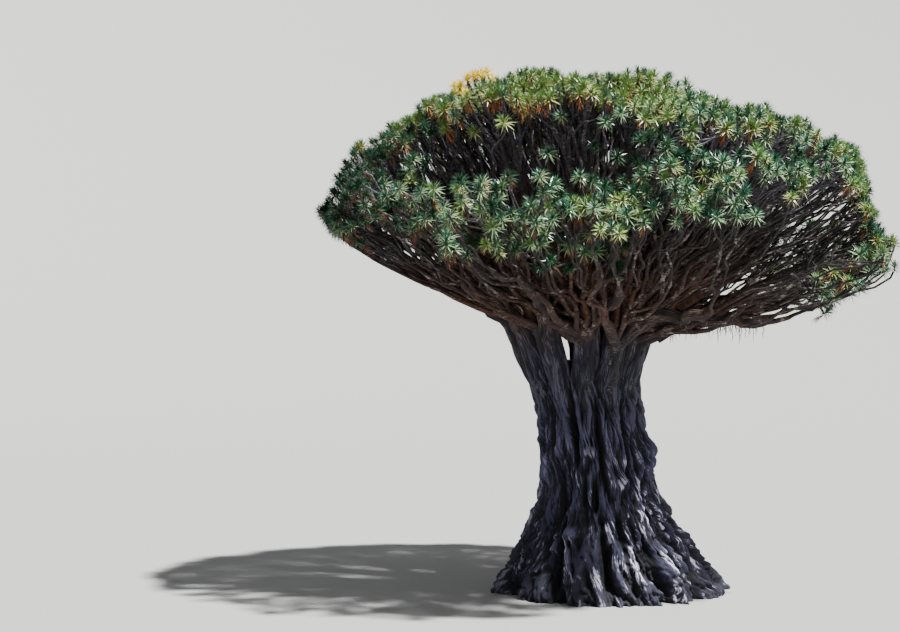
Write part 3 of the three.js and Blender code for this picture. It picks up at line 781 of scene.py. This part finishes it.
def makeBoughs(name, which, nodes):
    points, faces, reliefs, flows = [], [], [], []
    total = 0

    def add(path, radii, sides, kind):
        nonlocal total
        rings, around, relief, flow, axes = reliefTube(path, radii, sides, kind)
        points.append(rings)
        reliefs.append(relief)
        flows.append(flow)
        faces.extend(tuple(total + i for i in face) for face in around)
        total += len(rings)
        return axes

    for t in which:
        tier, strands = tiers[t], boughDetail["strands"][t]
        for k in range(tier["count"]):
            path, radii = smoothPath(*boughPath(tier, k), boughDetail["spacing"])
            axes = add(path, [r * boughDetail["core"] for r in radii], boughDetail["sides"], 30 * t + k)
            for strand in range(strands):
                kind = k * 10 + strand + 200 * t
                turn = 6.283 * (strand + 0.6 * chance(kind, 83)) / strands
                line, girths = boughStrand(path, radii, axes, kind, turn)
                add(line, girths, boughDetail["strandSides"], 300 + kind)
    piece = barkPiece(name, np.vstack(points), faces, np.concatenate(reliefs), np.vstack(flows), boughBark)
    finished(piece, "bough_bark", *nodes)


makeBoughs("rim_boughs_bark_relief", (0,), nodesNamed("bough_rim_"))
makeBoughs("inner_boughs_bark_relief", (1, 2), nodesNamed("bough_shoulder_", "bough_top_"))


# Limbs and twigs: each mass's rosettes are halved again and again from the bough that bears them

twigDetail = {
    # where the rosettes stand
    "rosettes": 3250, "density": 0.9, "spread": 30, "inset": (0.24, 1.0), "tuftScale": 0.95,
    "tuftDepth": 0.42, "topLift": 0.25, "scatter": 1.1, "uprightness": 0.8,
    # where they stay away: gaps, the thin front left, the low right-hand edge, the bare limbs there
    "gapScale": 0.75, "gapFrom": 0.72, "gapBelow": -0.3, "gapToFrontLeft": 0.42, "leftFrom": 0.6,
    "leftThinning": 0.4, "edgeFrom": 7.6, "edgeTo": 4, "edgeLow": 10.7, "edgeKept": 0.5,
    "bareAzimuths": (-118, 24), "bareBelow": 12.9, "bareStep": 1.4, "bareStepFront": 0.6,
    "bareTwigs": 0.34, "bareFade": (-62, -22), "bareInset": (0.6, 2.6), "bareRise": 0.4,
    # how limbs fork, bend and thin
    "foot": 0.08, "tipRadius": 0.034, "growth": 0.47, "sideSwell": 1.08, "earlyFork": (0.12, 0.42),
    "candelabra": (0.5, 0.26), "few": 4, "sag": 0.35, "sagToRight": 0.5, "freeRise": (0.0, 0.34),
    "sway": 0.07, "wobble": 0.04, "span": 0.36, "wander": 0.04, "twigWander": 0.075, "knots": 0.12,
    "slimToRim": 0.34, "slimToRight": 0.16, "leavePower": 1.9, "halvings": (4, 2, 2),
    # how many groups leave the mass's own bough, for each tier; the others fan out from the fork
    "ownShare": (0.6, 0.3, 0.3), "ownInFront": 0.25, "frontBoughs": (9, 10, 11),
    "fanAzimuths": (291, 90), "fanNarrow": (0.08, 0.46), "fanSwell": (1.05, 2.1), "fanFrom": -0.09,
    "fanOver": 0.17, "fanTurn": 0.9, "fanProud": 0.3, "fanSlope": (0.45, 0.95),
    "thickSides": 7, "thinSides": 5, "thickFrom": 7, "slimFrom": 2,
}
# rosettes below the leafy band: sparse ones on the right, and a deeper skirt on the front left
lowRosettes = (
    {"count": 80, "azimuths": (-30, 42), "shares": (0.72, 0.97), "lift": (0.3, 1.6)},
    {"count": 120, "azimuths": (190, 272), "shares": (0.62, 0.94), "lift": (0.7, 2.3)},
)
goldGroup = {"x": -4.5, "y": -0.7, "radius": 0.8, "shareBelow": 0.75, "lift": 0.3}  # yellowed, top left


class Target:  # where a twig ends, and which way it points there
    def __init__(self, index, position, direction, share, azimuth, leafy=True):
        self.index = index
        self.position = position
        self.direction = direction
        self.share = share
        self.azimuth = azimuth
        self.leafy = leafy


def degreesFrom(azimuth):  # -180 to 180, from the right
    return (math.degrees(azimuth) + 180) % 360 - 180


def isGap(i, position, share):
    frontLeft = smooth(1.0, 5.0, -position.y) * smooth(-1.5, 5.0, -position.x)
    gap = noise.noise(position * twigDetail["gapScale"] + Vector((31, 7, 3)))
    if share > twigDetail["gapFrom"]:
        if gap < twigDetail["gapBelow"] + twigDetail["gapToFrontLeft"] * frontLeft:
            return True
    if share > twigDetail["leftFrom"] and chance(i, 12) < twigDetail["leftThinning"] * frontLeft:
        return True
    atEdge = position.x > twigDetail["edgeFrom"] and position.y < twigDetail["edgeTo"]
    return atEdge and position.z < twigDetail["edgeLow"] and chance(i, 13) > twigDetail["edgeKept"]


def isBare(position, azimuth):  # on the right the leaves stop high up, and bare limbs show below them
    low, high = twigDetail["bareAzimuths"]
    below = twigDetail["bareBelow"] - twigDetail["bareStep"] * (1 - smooth(3.0, 6.0, position.x))
    below -= twigDetail["bareStepFront"] * (1 - smooth(-1.5, 0.5, position.x))
    return low < degreesFrom(azimuth) < high and position.z < below and position.x <= twigDetail["edgeFrom"]


def bareEnd(i, position, direction, azimuth):  # where a leafless limb ends, if one is wanted here
    if chance(i, 10) > twigDetail["bareTwigs"] * smooth(*twigDetail["bareFade"], degreesFrom(azimuth)):
        return None
    least, most = twigDetail["bareInset"]
    inner = position - direction * (least + (most - least) * chance(i, 11))
    end = lifted(inner.copy())
    return end if end.z <= inner.z + twigDetail["bareRise"] else None  # none that sticks out at the rim


def isGold(target):
    away = math.hypot(target.position.x - goldGroup["x"], target.position.y - goldGroup["y"])
    return target.share < goldGroup["shareBelow"] and away < goldGroup["radius"]


def crownPlace(i, azimuth):  # a rosette's place, in tufts and lumps under the crown's surface
    count = twigDetail["rosettes"]
    least, most = twigDetail["inset"]
    areaShare = min(0.999, max(0.0, (i + 0.5 + twigDetail["spread"] * (chance(i, 2) - 0.5)) / count))
    position, direction, share = sectionPoint(azimuth, areaShare ** twigDetail["density"], least,
                                              twigDetail["uprightness"])
    lump = noise.noise(position * 0.55)
    deeper = (most - least) * (0.5 + 0.9 * lump) * smooth(0.3, 0.95, chance(i, 3) * 0.5 + 0.5)
    tuft = noise.noise(position * twigDetail["tuftScale"] + Vector((5, 17, 9)))
    position -= direction * (max(0.0, deeper) + twigDetail["tuftDepth"] * smooth(-0.35, 0.35, tuft))
    position.z += twigDetail["topLift"] * (1 - smooth(0.25, 0.6, share))
    return position, direction, share


def rosetteTargets():
    targets = []
    for i in range(twigDetail["rosettes"]):
        azimuth = i * golden + (chance(i, 1) - 0.5) * twigDetail["scatter"] / math.sqrt(i + 1)
        azimuth += (chance(i, 4) - 0.5) * 0.05
        position, direction, share = crownPlace(i, azimuth)
        if isGap(i, position, share):
            continue
        leafy = not isBare(position, azimuth)
        if not leafy:
            position = bareEnd(i, position, direction, azimuth)
            if position is None:
                continue
            direction = (position - Vector((crownCentreX, 0, crown["underside"]))).normalized()
        direction = (direction + Vector((chance(i, 7) - 0.5, chance(i, 8) - 0.5, 0)) * 0.5).normalized()
        targets.append(Target(i, position, direction, share, azimuth, leafy))
        if isGold(targets[-1]):
            position.z += goldGroup["lift"]
    count = twigDetail["rosettes"]
    for group in lowRosettes:
        (low, high), (near, far), (least, most) = group["azimuths"], group["shares"], group["lift"]
        for i in range(count, count + group["count"]):
            azimuth = math.radians(low + (high - low) * chance(i, 1))
            side, back = math.cos(azimuth), math.sin(azimuth)
            share = near + (far - near) * chance(i, 2)
            distance = share * crownEdge(azimuth)
            height = undersideAt(distance, azimuth) + least + (most - least) * chance(i, 3)
            position = Vector((crownCentreX + distance * side, distance * back, height))
            direction = Vector((side * 0.9, back * 0.9, 0.7)).normalized()
            targets.append(Target(i, position, direction, share, azimuth))
        count += group["count"]
    return targets


def sectorOf(tier, azimuth):
    sector = 360 / tier["count"]
    return int(((math.degrees(azimuth) - tier["firstAzimuth"] + sector / 2) % 360) // sector) % tier["count"]


def middleOf(targets):
    return sum((t.position for t in targets), Vector()) / len(targets)


def halves(targets):  # in two, the way in which they are spread more
    first = targets[0].azimuth

    def around(t):
        return math.sin(t.azimuth - first) * t.share * crownRadius

    def outward(t):
        return t.share * crownRadius - t.position.z

    def spread(key):
        values = [key(t) for t in targets]
        return max(values) - min(values)

    key = around if spread(around) > spread(outward) else outward
    ordered = sorted(targets, key=key)
    half = (len(ordered) + 1) // 2
    return ordered[:half], ordered[half:]


def forkPoint(start, targets):  # soon after the limb leaves, or else near the leaves when few are left
    index = targets[0].index
    middle = middleOf(targets)
    way = middle - start
    low, high = twigDetail["earlyFork"]
    share = low + (high - low) * chance(index, 50) ** 1.5
    if len(targets) <= twigDetail["few"]:
        base, each = twigDetail["candelabra"]
        late = (base + each * len(targets)) * (0.7 + 0.9 * chance(index, 49))
        share = max(0.25, 1 - late / way.length)
    nearest = min((t.position - start).dot(way) for t in targets) / way.length_squared
    share = min(share, max(0.15, nearest * 0.88))
    distance = math.hypot(middle.x - crownCentreX, middle.y)
    azimuth = math.atan2(middle.y, middle.x - crownCentreX)
    room = (middle.z - undersideAt(distance, azimuth)) / (treeHeight - crown["underside"])
    sag = twigDetail["sag"] + twigDetail["sagToRight"] * max(0.0, math.cos(azimuth))
    upward = share ** (1 + sag * (1 - smooth(*twigDetail["freeRise"], room)))
    point = Vector((start.x + (middle.x - start.x) * share, start.y + (middle.y - start.y) * share,
                    start.z + (middle.z - start.z) * upward))
    return lifted(point + jitter(index, 51) * ((point - start).length * twigDetail["sway"] * 2))


def lifted(point):  # no limb hangs below the crown's underside
    distance = math.hypot(point.x - crownCentreX, point.y)
    lowest = undersideAt(distance, math.atan2(point.y, point.x - crownCentreX))
    if distance > 1.6 and point.z < lowest:
        point.z += (lowest - point.z) * smooth(1.6, 2.6, distance)
    return point


def twigRadius(leads):
    return twigDetail["tipRadius"] * leads ** twigDetail["growth"]


def slimmer(point):  # the limbs are slender near the rim, most of all on the right
    toRim = smooth(3, 7, math.hypot(point.x - crownCentreX, point.y))
    toRight = smooth(2, 6, point.x)
    return 1 - twigDetail["slimToRim"] * toRim - twigDetail["slimToRight"] * toRight


def growTwigs(limb, targets, limbs):  # on to the next fork, where one half goes straight on and one leaves
    start, heading, radius = limb["points"][-1], limb["heading"], limb["girth"]
    isTip = len(targets) == 1
    target = targets[0]
    stop = target.position - target.direction * twigDetail["foot"] if isTip else forkPoint(start, targets)
    length = (stop - start).length
    straight = (stop - start).normalized()
    arriving = target.direction
    if not isTip:
        arriving = (straight + (middleOf(targets) - stop).normalized()).normalized()
    end = twigRadius(len(targets))
    limb["girth"] = end
    spans = min(12, max(2, round(length / twigDetail["span"])))
    wander = twigDetail["twigWander" if len(targets) <= 3 and stop.x < 3 else "wander"] * length
    for s in range(1, spans + 1):
        t = s / spans
        place = bezier(start, start + heading * (length / 3), stop - arriving * (length / 3), stop, t)
        bend = wander * math.sin(math.pi * t)  # each winds in its own way
        place += Vector([bend * math.sin(t * (5 + 5 * chance(target.index, 45 + i))
                                         + 6.3 * chance(target.index, 42 + i)) for i in range(3)])
        if s < spans:
            place += jitter(target.index * 13 + s, 55) * twigDetail["wobble"] * 2
        place = lifted(place)
        limb["points"].append(place)
        knot = 1 + twigDetail["knots"] * (chance(target.index * 9 + s, 54) - 0.5)
        girth = (radius + (end - radius) * t) * knot * slimmer(place)
        limb["radii"].append(max(twigDetail["tipRadius"], girth))
    limb["heading"] = arriving
    if isTip:
        limbs.append(limb)
        return
    first, second = sorted(halves(targets), reverse=True,
                           key=lambda half: (middleOf(half) - stop).normalized().dot(arriving))
    aim = ((middleOf(second) - stop).normalized() + arriving).normalized()
    girth = twigRadius(len(second)) * twigDetail["sideSwell"]
    side = {"points": [stop], "radii": [girth * slimmer(stop)], "girth": girth, "heading": aim,
            "leads": len(second)}
    growTwigs(limb, first, limbs)
    growTwigs(side, second, limbs)


def fanFoot(index, at):  # the rim bough from whose foot a group round this place fans out, and how far along
    toward = math.degrees(math.atan2(at.y, at.x - crownCentreX)) % 360
    heart = twigDetail["fanAzimuths"][0 if at.y < 0 else 1]
    low, high = twigDetail["fanNarrow"]
    narrow = low + (high - low) * chance(index, 59)
    slope = (at.z - crown["underside"]) / math.hypot(at.x - crownCentreX, at.y)
    narrow += (1 - narrow) * (1 - smooth(*twigDetail["fanSlope"], slope)) * smooth(0, 3, at.x)
    toward = heart + (toward - heart) * narrow
    along = twigDetail["fanFrom"] + twigDetail["fanOver"] * chance(index, 58)
    return boughPath(tiers[0], round(toward / 30) % 12), along


def massLimbs(tier, k, targets):  # some groups leave the mass's own bough, others start at the fork
    path, radii = boughPath(tier, k)
    curve, _ = boughCurve(tier, k)
    tipHeading = (curve[3] - curve[2]).normalized()
    rank = tiers.index(tier)

    def straightness(group):
        return (middleOf(group) - curve[3]).normalized().dot(tipHeading)

    groups = [targets]
    for _ in range(twigDetail["halvings"][rank]):
        groups = [part for group in groups for part in sorted(halves(group), key=straightness, reverse=True)]
    own = twigDetail["ownShare"][rank]
    if tier is tiers[0] and k in twigDetail["frontBoughs"]:
        own *= twigDetail["ownInFront"]
    limbs = []
    for place, part in enumerate(groups):
        index = part[0].index
        middle = middleOf(part)
        line, girths = path, radii
        along = (1 - place / len(groups)) ** twigDetail["leavePower"]
        turn, swell, front = 0.7, 1.4, 0
        if place and place * 0.618 % 1 > own:
            (line, girths), along = fanFoot(index, middle)
            low, high = twigDetail["fanSwell"]
            turn, swell = twigDetail["fanTurn"], 1.4 * (low + (high - low) * chance(index, 60) ** 2)
            front = twigDetail["fanProud"] * (-1 if middle.y < 0 else 1)
        at = 4 + along * 12  # the bough's path has four stations inside the trunk, then twelve spans
        i = min(int(at), len(line) - 2)
        start = line[i].lerp(line[i + 1], min(1.0, at - i)) + Vector((0, front * girths[i], 0))
        heading, girth, root = tipHeading, radii[-1] * 0.97, start - tipHeading * 0.1
        if place:
            ahead = (line[i + 1] - line[i]).normalized()
            heading = (ahead + (middle - start).normalized() * turn).normalized()
            girth = min(girths[i] * 0.75, twigRadius(len(part)) * swell)
            root = line[max(0, i - 3)]  # it parts from within the bough
        growTwigs({"points": [root, start], "radii": [girth * 0.5, girth * 0.8], "girth": girth,
                   "heading": heading, "leads": len(part)}, part, limbs)
    return limbs


def tubeTree():
    sheet, entry = growTree("limb tubes", [("Sides", "Int", 6), ("Material", "Material", None)])
    line = sheet.node("GeometryNodeMeshToCurve", None, {0: entry["Geometry"]})
    ring = sheet.node("GeometryNodeCurvePrimitiveCircle", None, {"Resolution": entry["Sides"], "Radius": 1.0})
    girth = sheet.node("GeometryNodeInputNamedAttribute", {"data_type": "FLOAT"}, {"Name": "girth"})
    tubes = sheet.node("GeometryNodeCurveToMesh", None, {0: line, 1: ring, 2: girth, 3: True})
    soft = sheet.node("GeometryNodeSetShadeSmooth", None, {0: tubes, 2: True})
    return endTree(sheet, soft, entry["Material"])


tubes = tubeTree()


def makeTubes(name, limbs, sides, material):
    points, edges, girths = [], [], []
    for limb in limbs:
        first = len(points)
        points += limb["points"]
        girths += limb["radii"]
        edges += [(first + i, first + i + 1) for i in range(len(limb["points"]) - 1)]
    base = pointsPiece(name + "_lines", points, edges, [("girth", "FLOAT", girths)])
    return grown(base, tubes, {"Sides": sides, "Material": material}, name)


targets = rosetteTargets()
limbs = []
for tier in tiers:
    within = [t for t in targets if tier["inner"] <= t.share < tier["outer"]]
    for k in range(tier["count"]):
        limbs += massLimbs(tier, k, [t for t in within if sectorOf(tier, t.azimuth) == k])
thick, slim = twigDetail["thickFrom"], twigDetail["slimFrom"]
for name, least, most, sides, material in (
        ("limbs", thick, 1e9, twigDetail["thickSides"], limbBark),
        ("branches", slim, thick, twigDetail["thinSides"], twigBark),
        ("twigs", 0, slim, twigDetail["thinSides"], twigBark)):
    kept = [limb for limb in limbs if least <= limb["leads"] < most]
    finished(makeTubes(name, kept, sides, material), "bough_bark")
print(sum(t.leafy for t in targets), "rosettes on", len(limbs), "limbs")


# Rosettes: sword leaves round the end of each twig, and dry ones that hang under some

leafShape = {"stations": (0, 0.45, 1), "halfWidths": (0.03, 0.043, 0), "droop": (0, 0.03, -0.04)}
# Colours run from dark to light, each with how much of its layer wears it. The heart's darker greens and the
# outer layer's paler greys and olives stand partly for the shade inside each rosette and the sunlit glints on
# its outer leaves: painted shade and painted highlight.
leafLayers = {
    "heart": {
        "leaves": 36, "length": 0.35, "lowest": 20, "highest": 86, "heart": 0.1, "kinds": 4,
        "roughness": 0.32,
        "colours": {"deep_green": (rgb(20, 48, 28), 0.34), "blue_green": (rgb(32, 78, 58), 0.34),
                    "mid_green": (rgb(78, 114, 54), 0.32)}},
    "outer": {
        "leaves": 32, "length": 0.37, "lowest": -26, "highest": 36, "heart": 0.1, "kinds": 4,
        "roughness": 0.26,
        "colours": {"sea_green": (rgb(48, 82, 58), 0.38), "grey_green": (rgb(130, 156, 116), 0.36),
                    "pale_olive": (rgb(164, 172, 110), 0.26)}},
    "dry": {
        "leaves": 22, "length": 0.3, "lowest": -76, "highest": -10, "heart": 0.4, "kinds": 3,
        "roughness": 0.75,
        "colours": {"rust": (rgb(88, 54, 32), 0.6), "amber": (rgb(146, 88, 40), 0.4)}},
}
goldLeaf = rgb(226, 202, 62)
# which rosettes are lighter or deeper by place on the crown, partly as painted sunlight and shade, and which
# have dry leaves under them
leafPlaces = {
    "patchScale": 0.35, "patches": 0.3, "right": (2.0, 8.0), "lighterRight": 0.12, "top": (14.0, 15.6),
    "sunlitTop": 0.38, "left": (-3.0, -8.0), "leftRim": (0.82, 0.94), "shadedLeft": 0.3, "deeper": 0.08,
    "dry": 0.3, "dryLeft": 0.6, "dryEdge": 0.4, "edge": (0.55, 0.64, 0.68, 0.8), "size": (0.82, 0.32),
}


def makeLeaf():
    points, faces = [], []
    for x, half, z in zip(leafShape["stations"], leafShape["halfWidths"], leafShape["droop"]):
        points += [(x, -half, z), (x, half, z)] if half else [(x, 0, z)]
    for i in range(len(leafShape["stations"]) - 2):
        faces.append((2 * i, 2 * i + 2, 2 * i + 3, 2 * i + 1))
    faces.append((len(points) - 3, len(points) - 1, len(points) - 2))
    return meshPiece("leaf", points, faces, plainMaterial("leaf", rgb(90, 130, 100)), False)


def sprayTree(leaf):  # leaves by the golden angle, from the lowest and longest to the upright middle ones
    sheet, entry = growTree("leaf spray", [
        ("Leaves", "Int", 36), ("Length", "Float", 0.35), ("Lowest", "Float", 20.0),
        ("Highest", "Float", 86.0), ("Heart", "Float", 0.1), ("Seed", "Int", 1),
        ("Material", "Material", None)])
    index = sheet.node("GeometryNodeInputIndex")
    share = index / entry["Leaves"]
    place = sheet.node("ShaderNodeCombineXYZ", None, {2: (share - 0.75) * entry["Heart"]})
    points = sheet.node("GeometryNodePoints", None, {0: entry["Leaves"], 1: place})

    def scatter(low, high, extra):
        return sheet.node("FunctionNodeRandomValue", {"data_type": "FLOAT"},
                          {2: low, 3: high, 8: entry["Seed"] * 10 + extra}, out=1)

    elevation = entry["Lowest"] + (entry["Highest"] - entry["Lowest"]) * share ** 1.15
    elevation = (elevation + scatter(-9.0, 9.0, 1)) * (math.pi / 180)
    turn = index * golden + scatter(-0.25, 0.25, 2)
    euler = sheet.node("ShaderNodeCombineXYZ", None, {0: scatter(-0.5, 0.5, 3), 1: -elevation, 2: turn})
    rotation = sheet.node("FunctionNodeEulerToRotation", None, {0: euler})
    size = entry["Length"] * (1.0 - share ** 3.0 * 0.35) * scatter(0.86, 1.04, 4)
    blade = sheet.node("GeometryNodeObjectInfo", None, {0: leaf}, out=4)
    leaves = sheet.node("GeometryNodeInstanceOnPoints", None, {0: points, 2: blade, 5: rotation, 6: size})
    return endTree(sheet, leaves, entry["Material"])


def rosetteTree(kinds):  # a spray of one of the kinds on each point, turned to its aim
    sheet, entry = growTree("rosettes on twigs", [("Material", "Material", None)])

    def stored(name, kind):
        return sheet.node("GeometryNodeInputNamedAttribute", {"data_type": kind}, {"Name": name})

    aim = sheet.node("FunctionNodeAlignRotationToVector", {"axis": "Z"}, {2: stored("aim", "FLOAT_VECTOR")})
    spin = sheet.node("FunctionNodeAxisAngleToRotation", None, {0: (0, 0, 1), 1: stored("turn", "FLOAT")})
    rotation = sheet.node("FunctionNodeRotateRotation", {"rotation_space": "LOCAL"}, {0: aim, 1: spin})
    sprays = sheet.node("GeometryNodeCollectionInfo", None, {0: kinds, 1: True, 2: True})
    points = sheet.node("GeometryNodeMeshToPoints", None, {0: entry["Geometry"]})
    placed = sheet.node("GeometryNodeInstanceOnPoints", None, {
        0: points, 2: sprays, 3: True, 4: stored("kind", "INT"), 5: rotation, 6: stored("size", "FLOAT")})
    return endTree(sheet, placed, entry["Material"])


leaf = makeLeaf()
leafPaint = leaf.data.materials[0]
growSpray = sprayTree(leaf)


def makeKinds(name, look):
    kinds = bpy.data.collections.new(name)
    for i in range(look["kinds"]):
        values = {key.capitalize(): float(look[key]) for key in ("length", "lowest", "highest", "heart")}
        values.update({"Leaves": look["leaves"], "Seed": i + 1, "Material": leafPaint})
        piece = grown(pointsPiece("start", [(0, 0, 0)]), growSpray, values, f"{name}_{i}")
        bpy.context.scene.collection.objects.unlink(piece)
        kinds.objects.link(piece)
    return kinds


def makeRosettes(name, places, material, tree, kinds):
    base = pointsPiece(name + "_places", [t.position for t, _ in places], (), [
        ("turn", "FLOAT", [6.283 * chance(t.index, 61) for t, _ in places]),
        ("size", "FLOAT", [size for _, size in places]),
        ("aim", "FLOAT_VECTOR", [t.direction for t, _ in places]),
        ("kind", "INT", [t.index % kinds for t, _ in places])])
    return grown(base, tree, {"Material": material}, name)


def colourOf(target, colours):  # lighter on top as painted sunlight, lighter to the right partly by tone and partly as painted sunlight, deeper on the left as painted shade
    if isGold(target) and "rust" not in colours:
        return "gold"
    look = leafPlaces
    x, _, z = target.position
    patch = 0.5 + noise.noise(target.position * look["patchScale"])
    pick = chance(target.index, 62) * (1 - look["patches"]) + look["patches"] * patch
    pick += look["lighterRight"] * smooth(*look["right"], x) + look["sunlitTop"] * smooth(*look["top"], z)
    pick -= look["shadedLeft"] * smooth(*look["left"], x) * smooth(*look["leftRim"], target.share)
    pick -= look["deeper"]
    total = 0
    for name, (_, portion) in colours.items():
        total += portion
        if pick < total:
            return name
    return name


def isDry(target):  # dry skirts show most on the left and under the canopy's front edge
    look = leafPlaces
    start, full, fade, end = look["edge"]
    edge = smooth(start, full, target.share) * (1 - smooth(fade, end, target.share))
    likely = look["dry"] + look["dryLeft"] * smooth(*look["left"], target.position.x)
    return chance(target.index, 63) < likely + look["dryEdge"] * edge * hollowAt(target.azimuth)


leafy = [target for target in targets if target.leafy]
masses = nodesNamed("foliage_")
for layer, look in leafLayers.items():
    kinds = makeKinds(layer + "_sprays", look)
    onTwigs = rosetteTree(kinds)
    byColour = {}
    for target in leafy:
        if layer != "dry" or isDry(target):
            least, more = leafPlaces["size"]
            size = least + more * chance(target.index, 64)
            byColour.setdefault(colourOf(target, look["colours"]), []).append((target, size))
    for name, places in sorted(byColour.items()):
        colour = look["colours"][name][0] if name in look["colours"] else goldLeaf
        leafSkin = plainMaterial(f"{layer} leaf {name}", colour, look["roughness"])
        piece = makeRosettes(f"{layer}_leaves_{name}", places, leafSkin, onTwigs, look["kinds"])
        finished(piece, "foliage", *masses)
        masses = []  # the first piece replaces them all
    for spare in list(kinds.objects):
        bpy.data.objects.remove(spare)
    bpy.data.collections.remove(kinds)
bpy.data.objects.remove(leaf)


# Aerial roots: a fringe that hangs under the low boughs on the right

fringe = {"count": 90, "boughs": (0, 11, 1, 10), "near": 1.6, "far": 5.6, "length": (0.15, 0.55),
          "radius": 0.014, "taper": (1, 0.9, 0.7, 0.25), "curl": 0.03}


def makeFringe():
    roots = []
    low, high = fringe["length"]
    curl = fringe["curl"]
    for i in range(fringe["count"]):
        path, radii = smoothPath(*boughPath(tiers[0], fringe["boughs"][i % 4]), 0.1)
        at = [j for j, p in enumerate(path) if p.z > forkHeight and fringe["near"] < p.x < fringe["far"]]
        if not at:
            continue
        j = at[int(chance(i, 71) * len(at))]
        length = low + (high - low) * chance(i, 72) ** 2 + radii[j] * 0.3
        start = path[j] - Vector((0, (chance(i, 73) - 0.5) * radii[j], radii[j] * 0.7))
        points = [start - Vector((curl * math.sin(i + 3 * s), curl * math.cos(2 * i + 3 * s), length * s / 3))
                  for s in range(4)]
        roots.append({"points": points, "radii": [fringe["radius"] * share for share in fringe["taper"]]})
    finished(makeTubes("aerial_roots", roots, 4, twigBark), "bough_bark")


makeFringe()


# Stage: pale floor, soft light, and the camera where the photo was taken

stage = {
    "floorRadius": 60, "sweep": 170, "rise": 60, "steps": 16, "sides": 96, "floor": rgb(154, 153, 151),
    "floorRoughness": 0.9, "world": rgb(226, 231, 240), "worldStrength": 0.3, "sunTilt": (29, 0, 62),
    "sunSoftness": 3, "sunStrength": 15,
}


def makeFloor():  # round, and it sweeps up at its edge, so that no horizon shows
    rings = [(stage["floorRadius"], 0.0)]
    for i in range(1, stage["steps"] + 1):
        t = i / stage["steps"]
        rings.append((stage["floorRadius"] + stage["sweep"] * t, stage["rise"] * t * t))
    sides = stage["sides"]
    ways = [2 * math.pi * j / sides for j in range(sides)]
    points = [(r * math.cos(way), r * math.sin(way), z) for r, z in rings for way in ways] + [(0, 0, 0)]
    faces = [face[::-1] for face in ringFaces(len(rings), sides)]
    faces += [(len(points) - 1, j, (j + 1) % sides) for j in range(sides)]
    paleFloor = plainMaterial("pale floor", stage["floor"], stage["floorRoughness"])
    meshPiece("floor", points, faces, paleFloor)


def makeLight():
    sun = bpy.data.lights.new("soft key", "SUN")
    sun.energy = stage["sunStrength"]
    sun.angle = math.radians(stage["sunSoftness"])
    linked("soft key", sun).rotation_euler = [math.radians(v) for v in stage["sunTilt"]]
    world = bpy.data.worlds.new("studio")
    world.use_nodes = True
    background = world.node_tree.nodes["Background"]
    background.inputs["Color"].default_value = stage["world"]
    background.inputs["Strength"].default_value = stage["worldStrength"]
    bpy.context.scene.world = world


camera = {"place": (-5.23, -60.0, 8.9), "lens": 73.84}


def makeCamera():
    view = bpy.data.cameras.new("camera")
    view.lens = camera["lens"]
    view.sensor_width = 36
    view.clip_end = 1000
    holder = linked("camera", view)
    holder.location = camera["place"]
    holder.rotation_euler = (math.pi / 2, 0, 0)
    bpy.context.scene.camera = holder


makeFloor()
makeLight()
makeCamera()
print("stage ready")
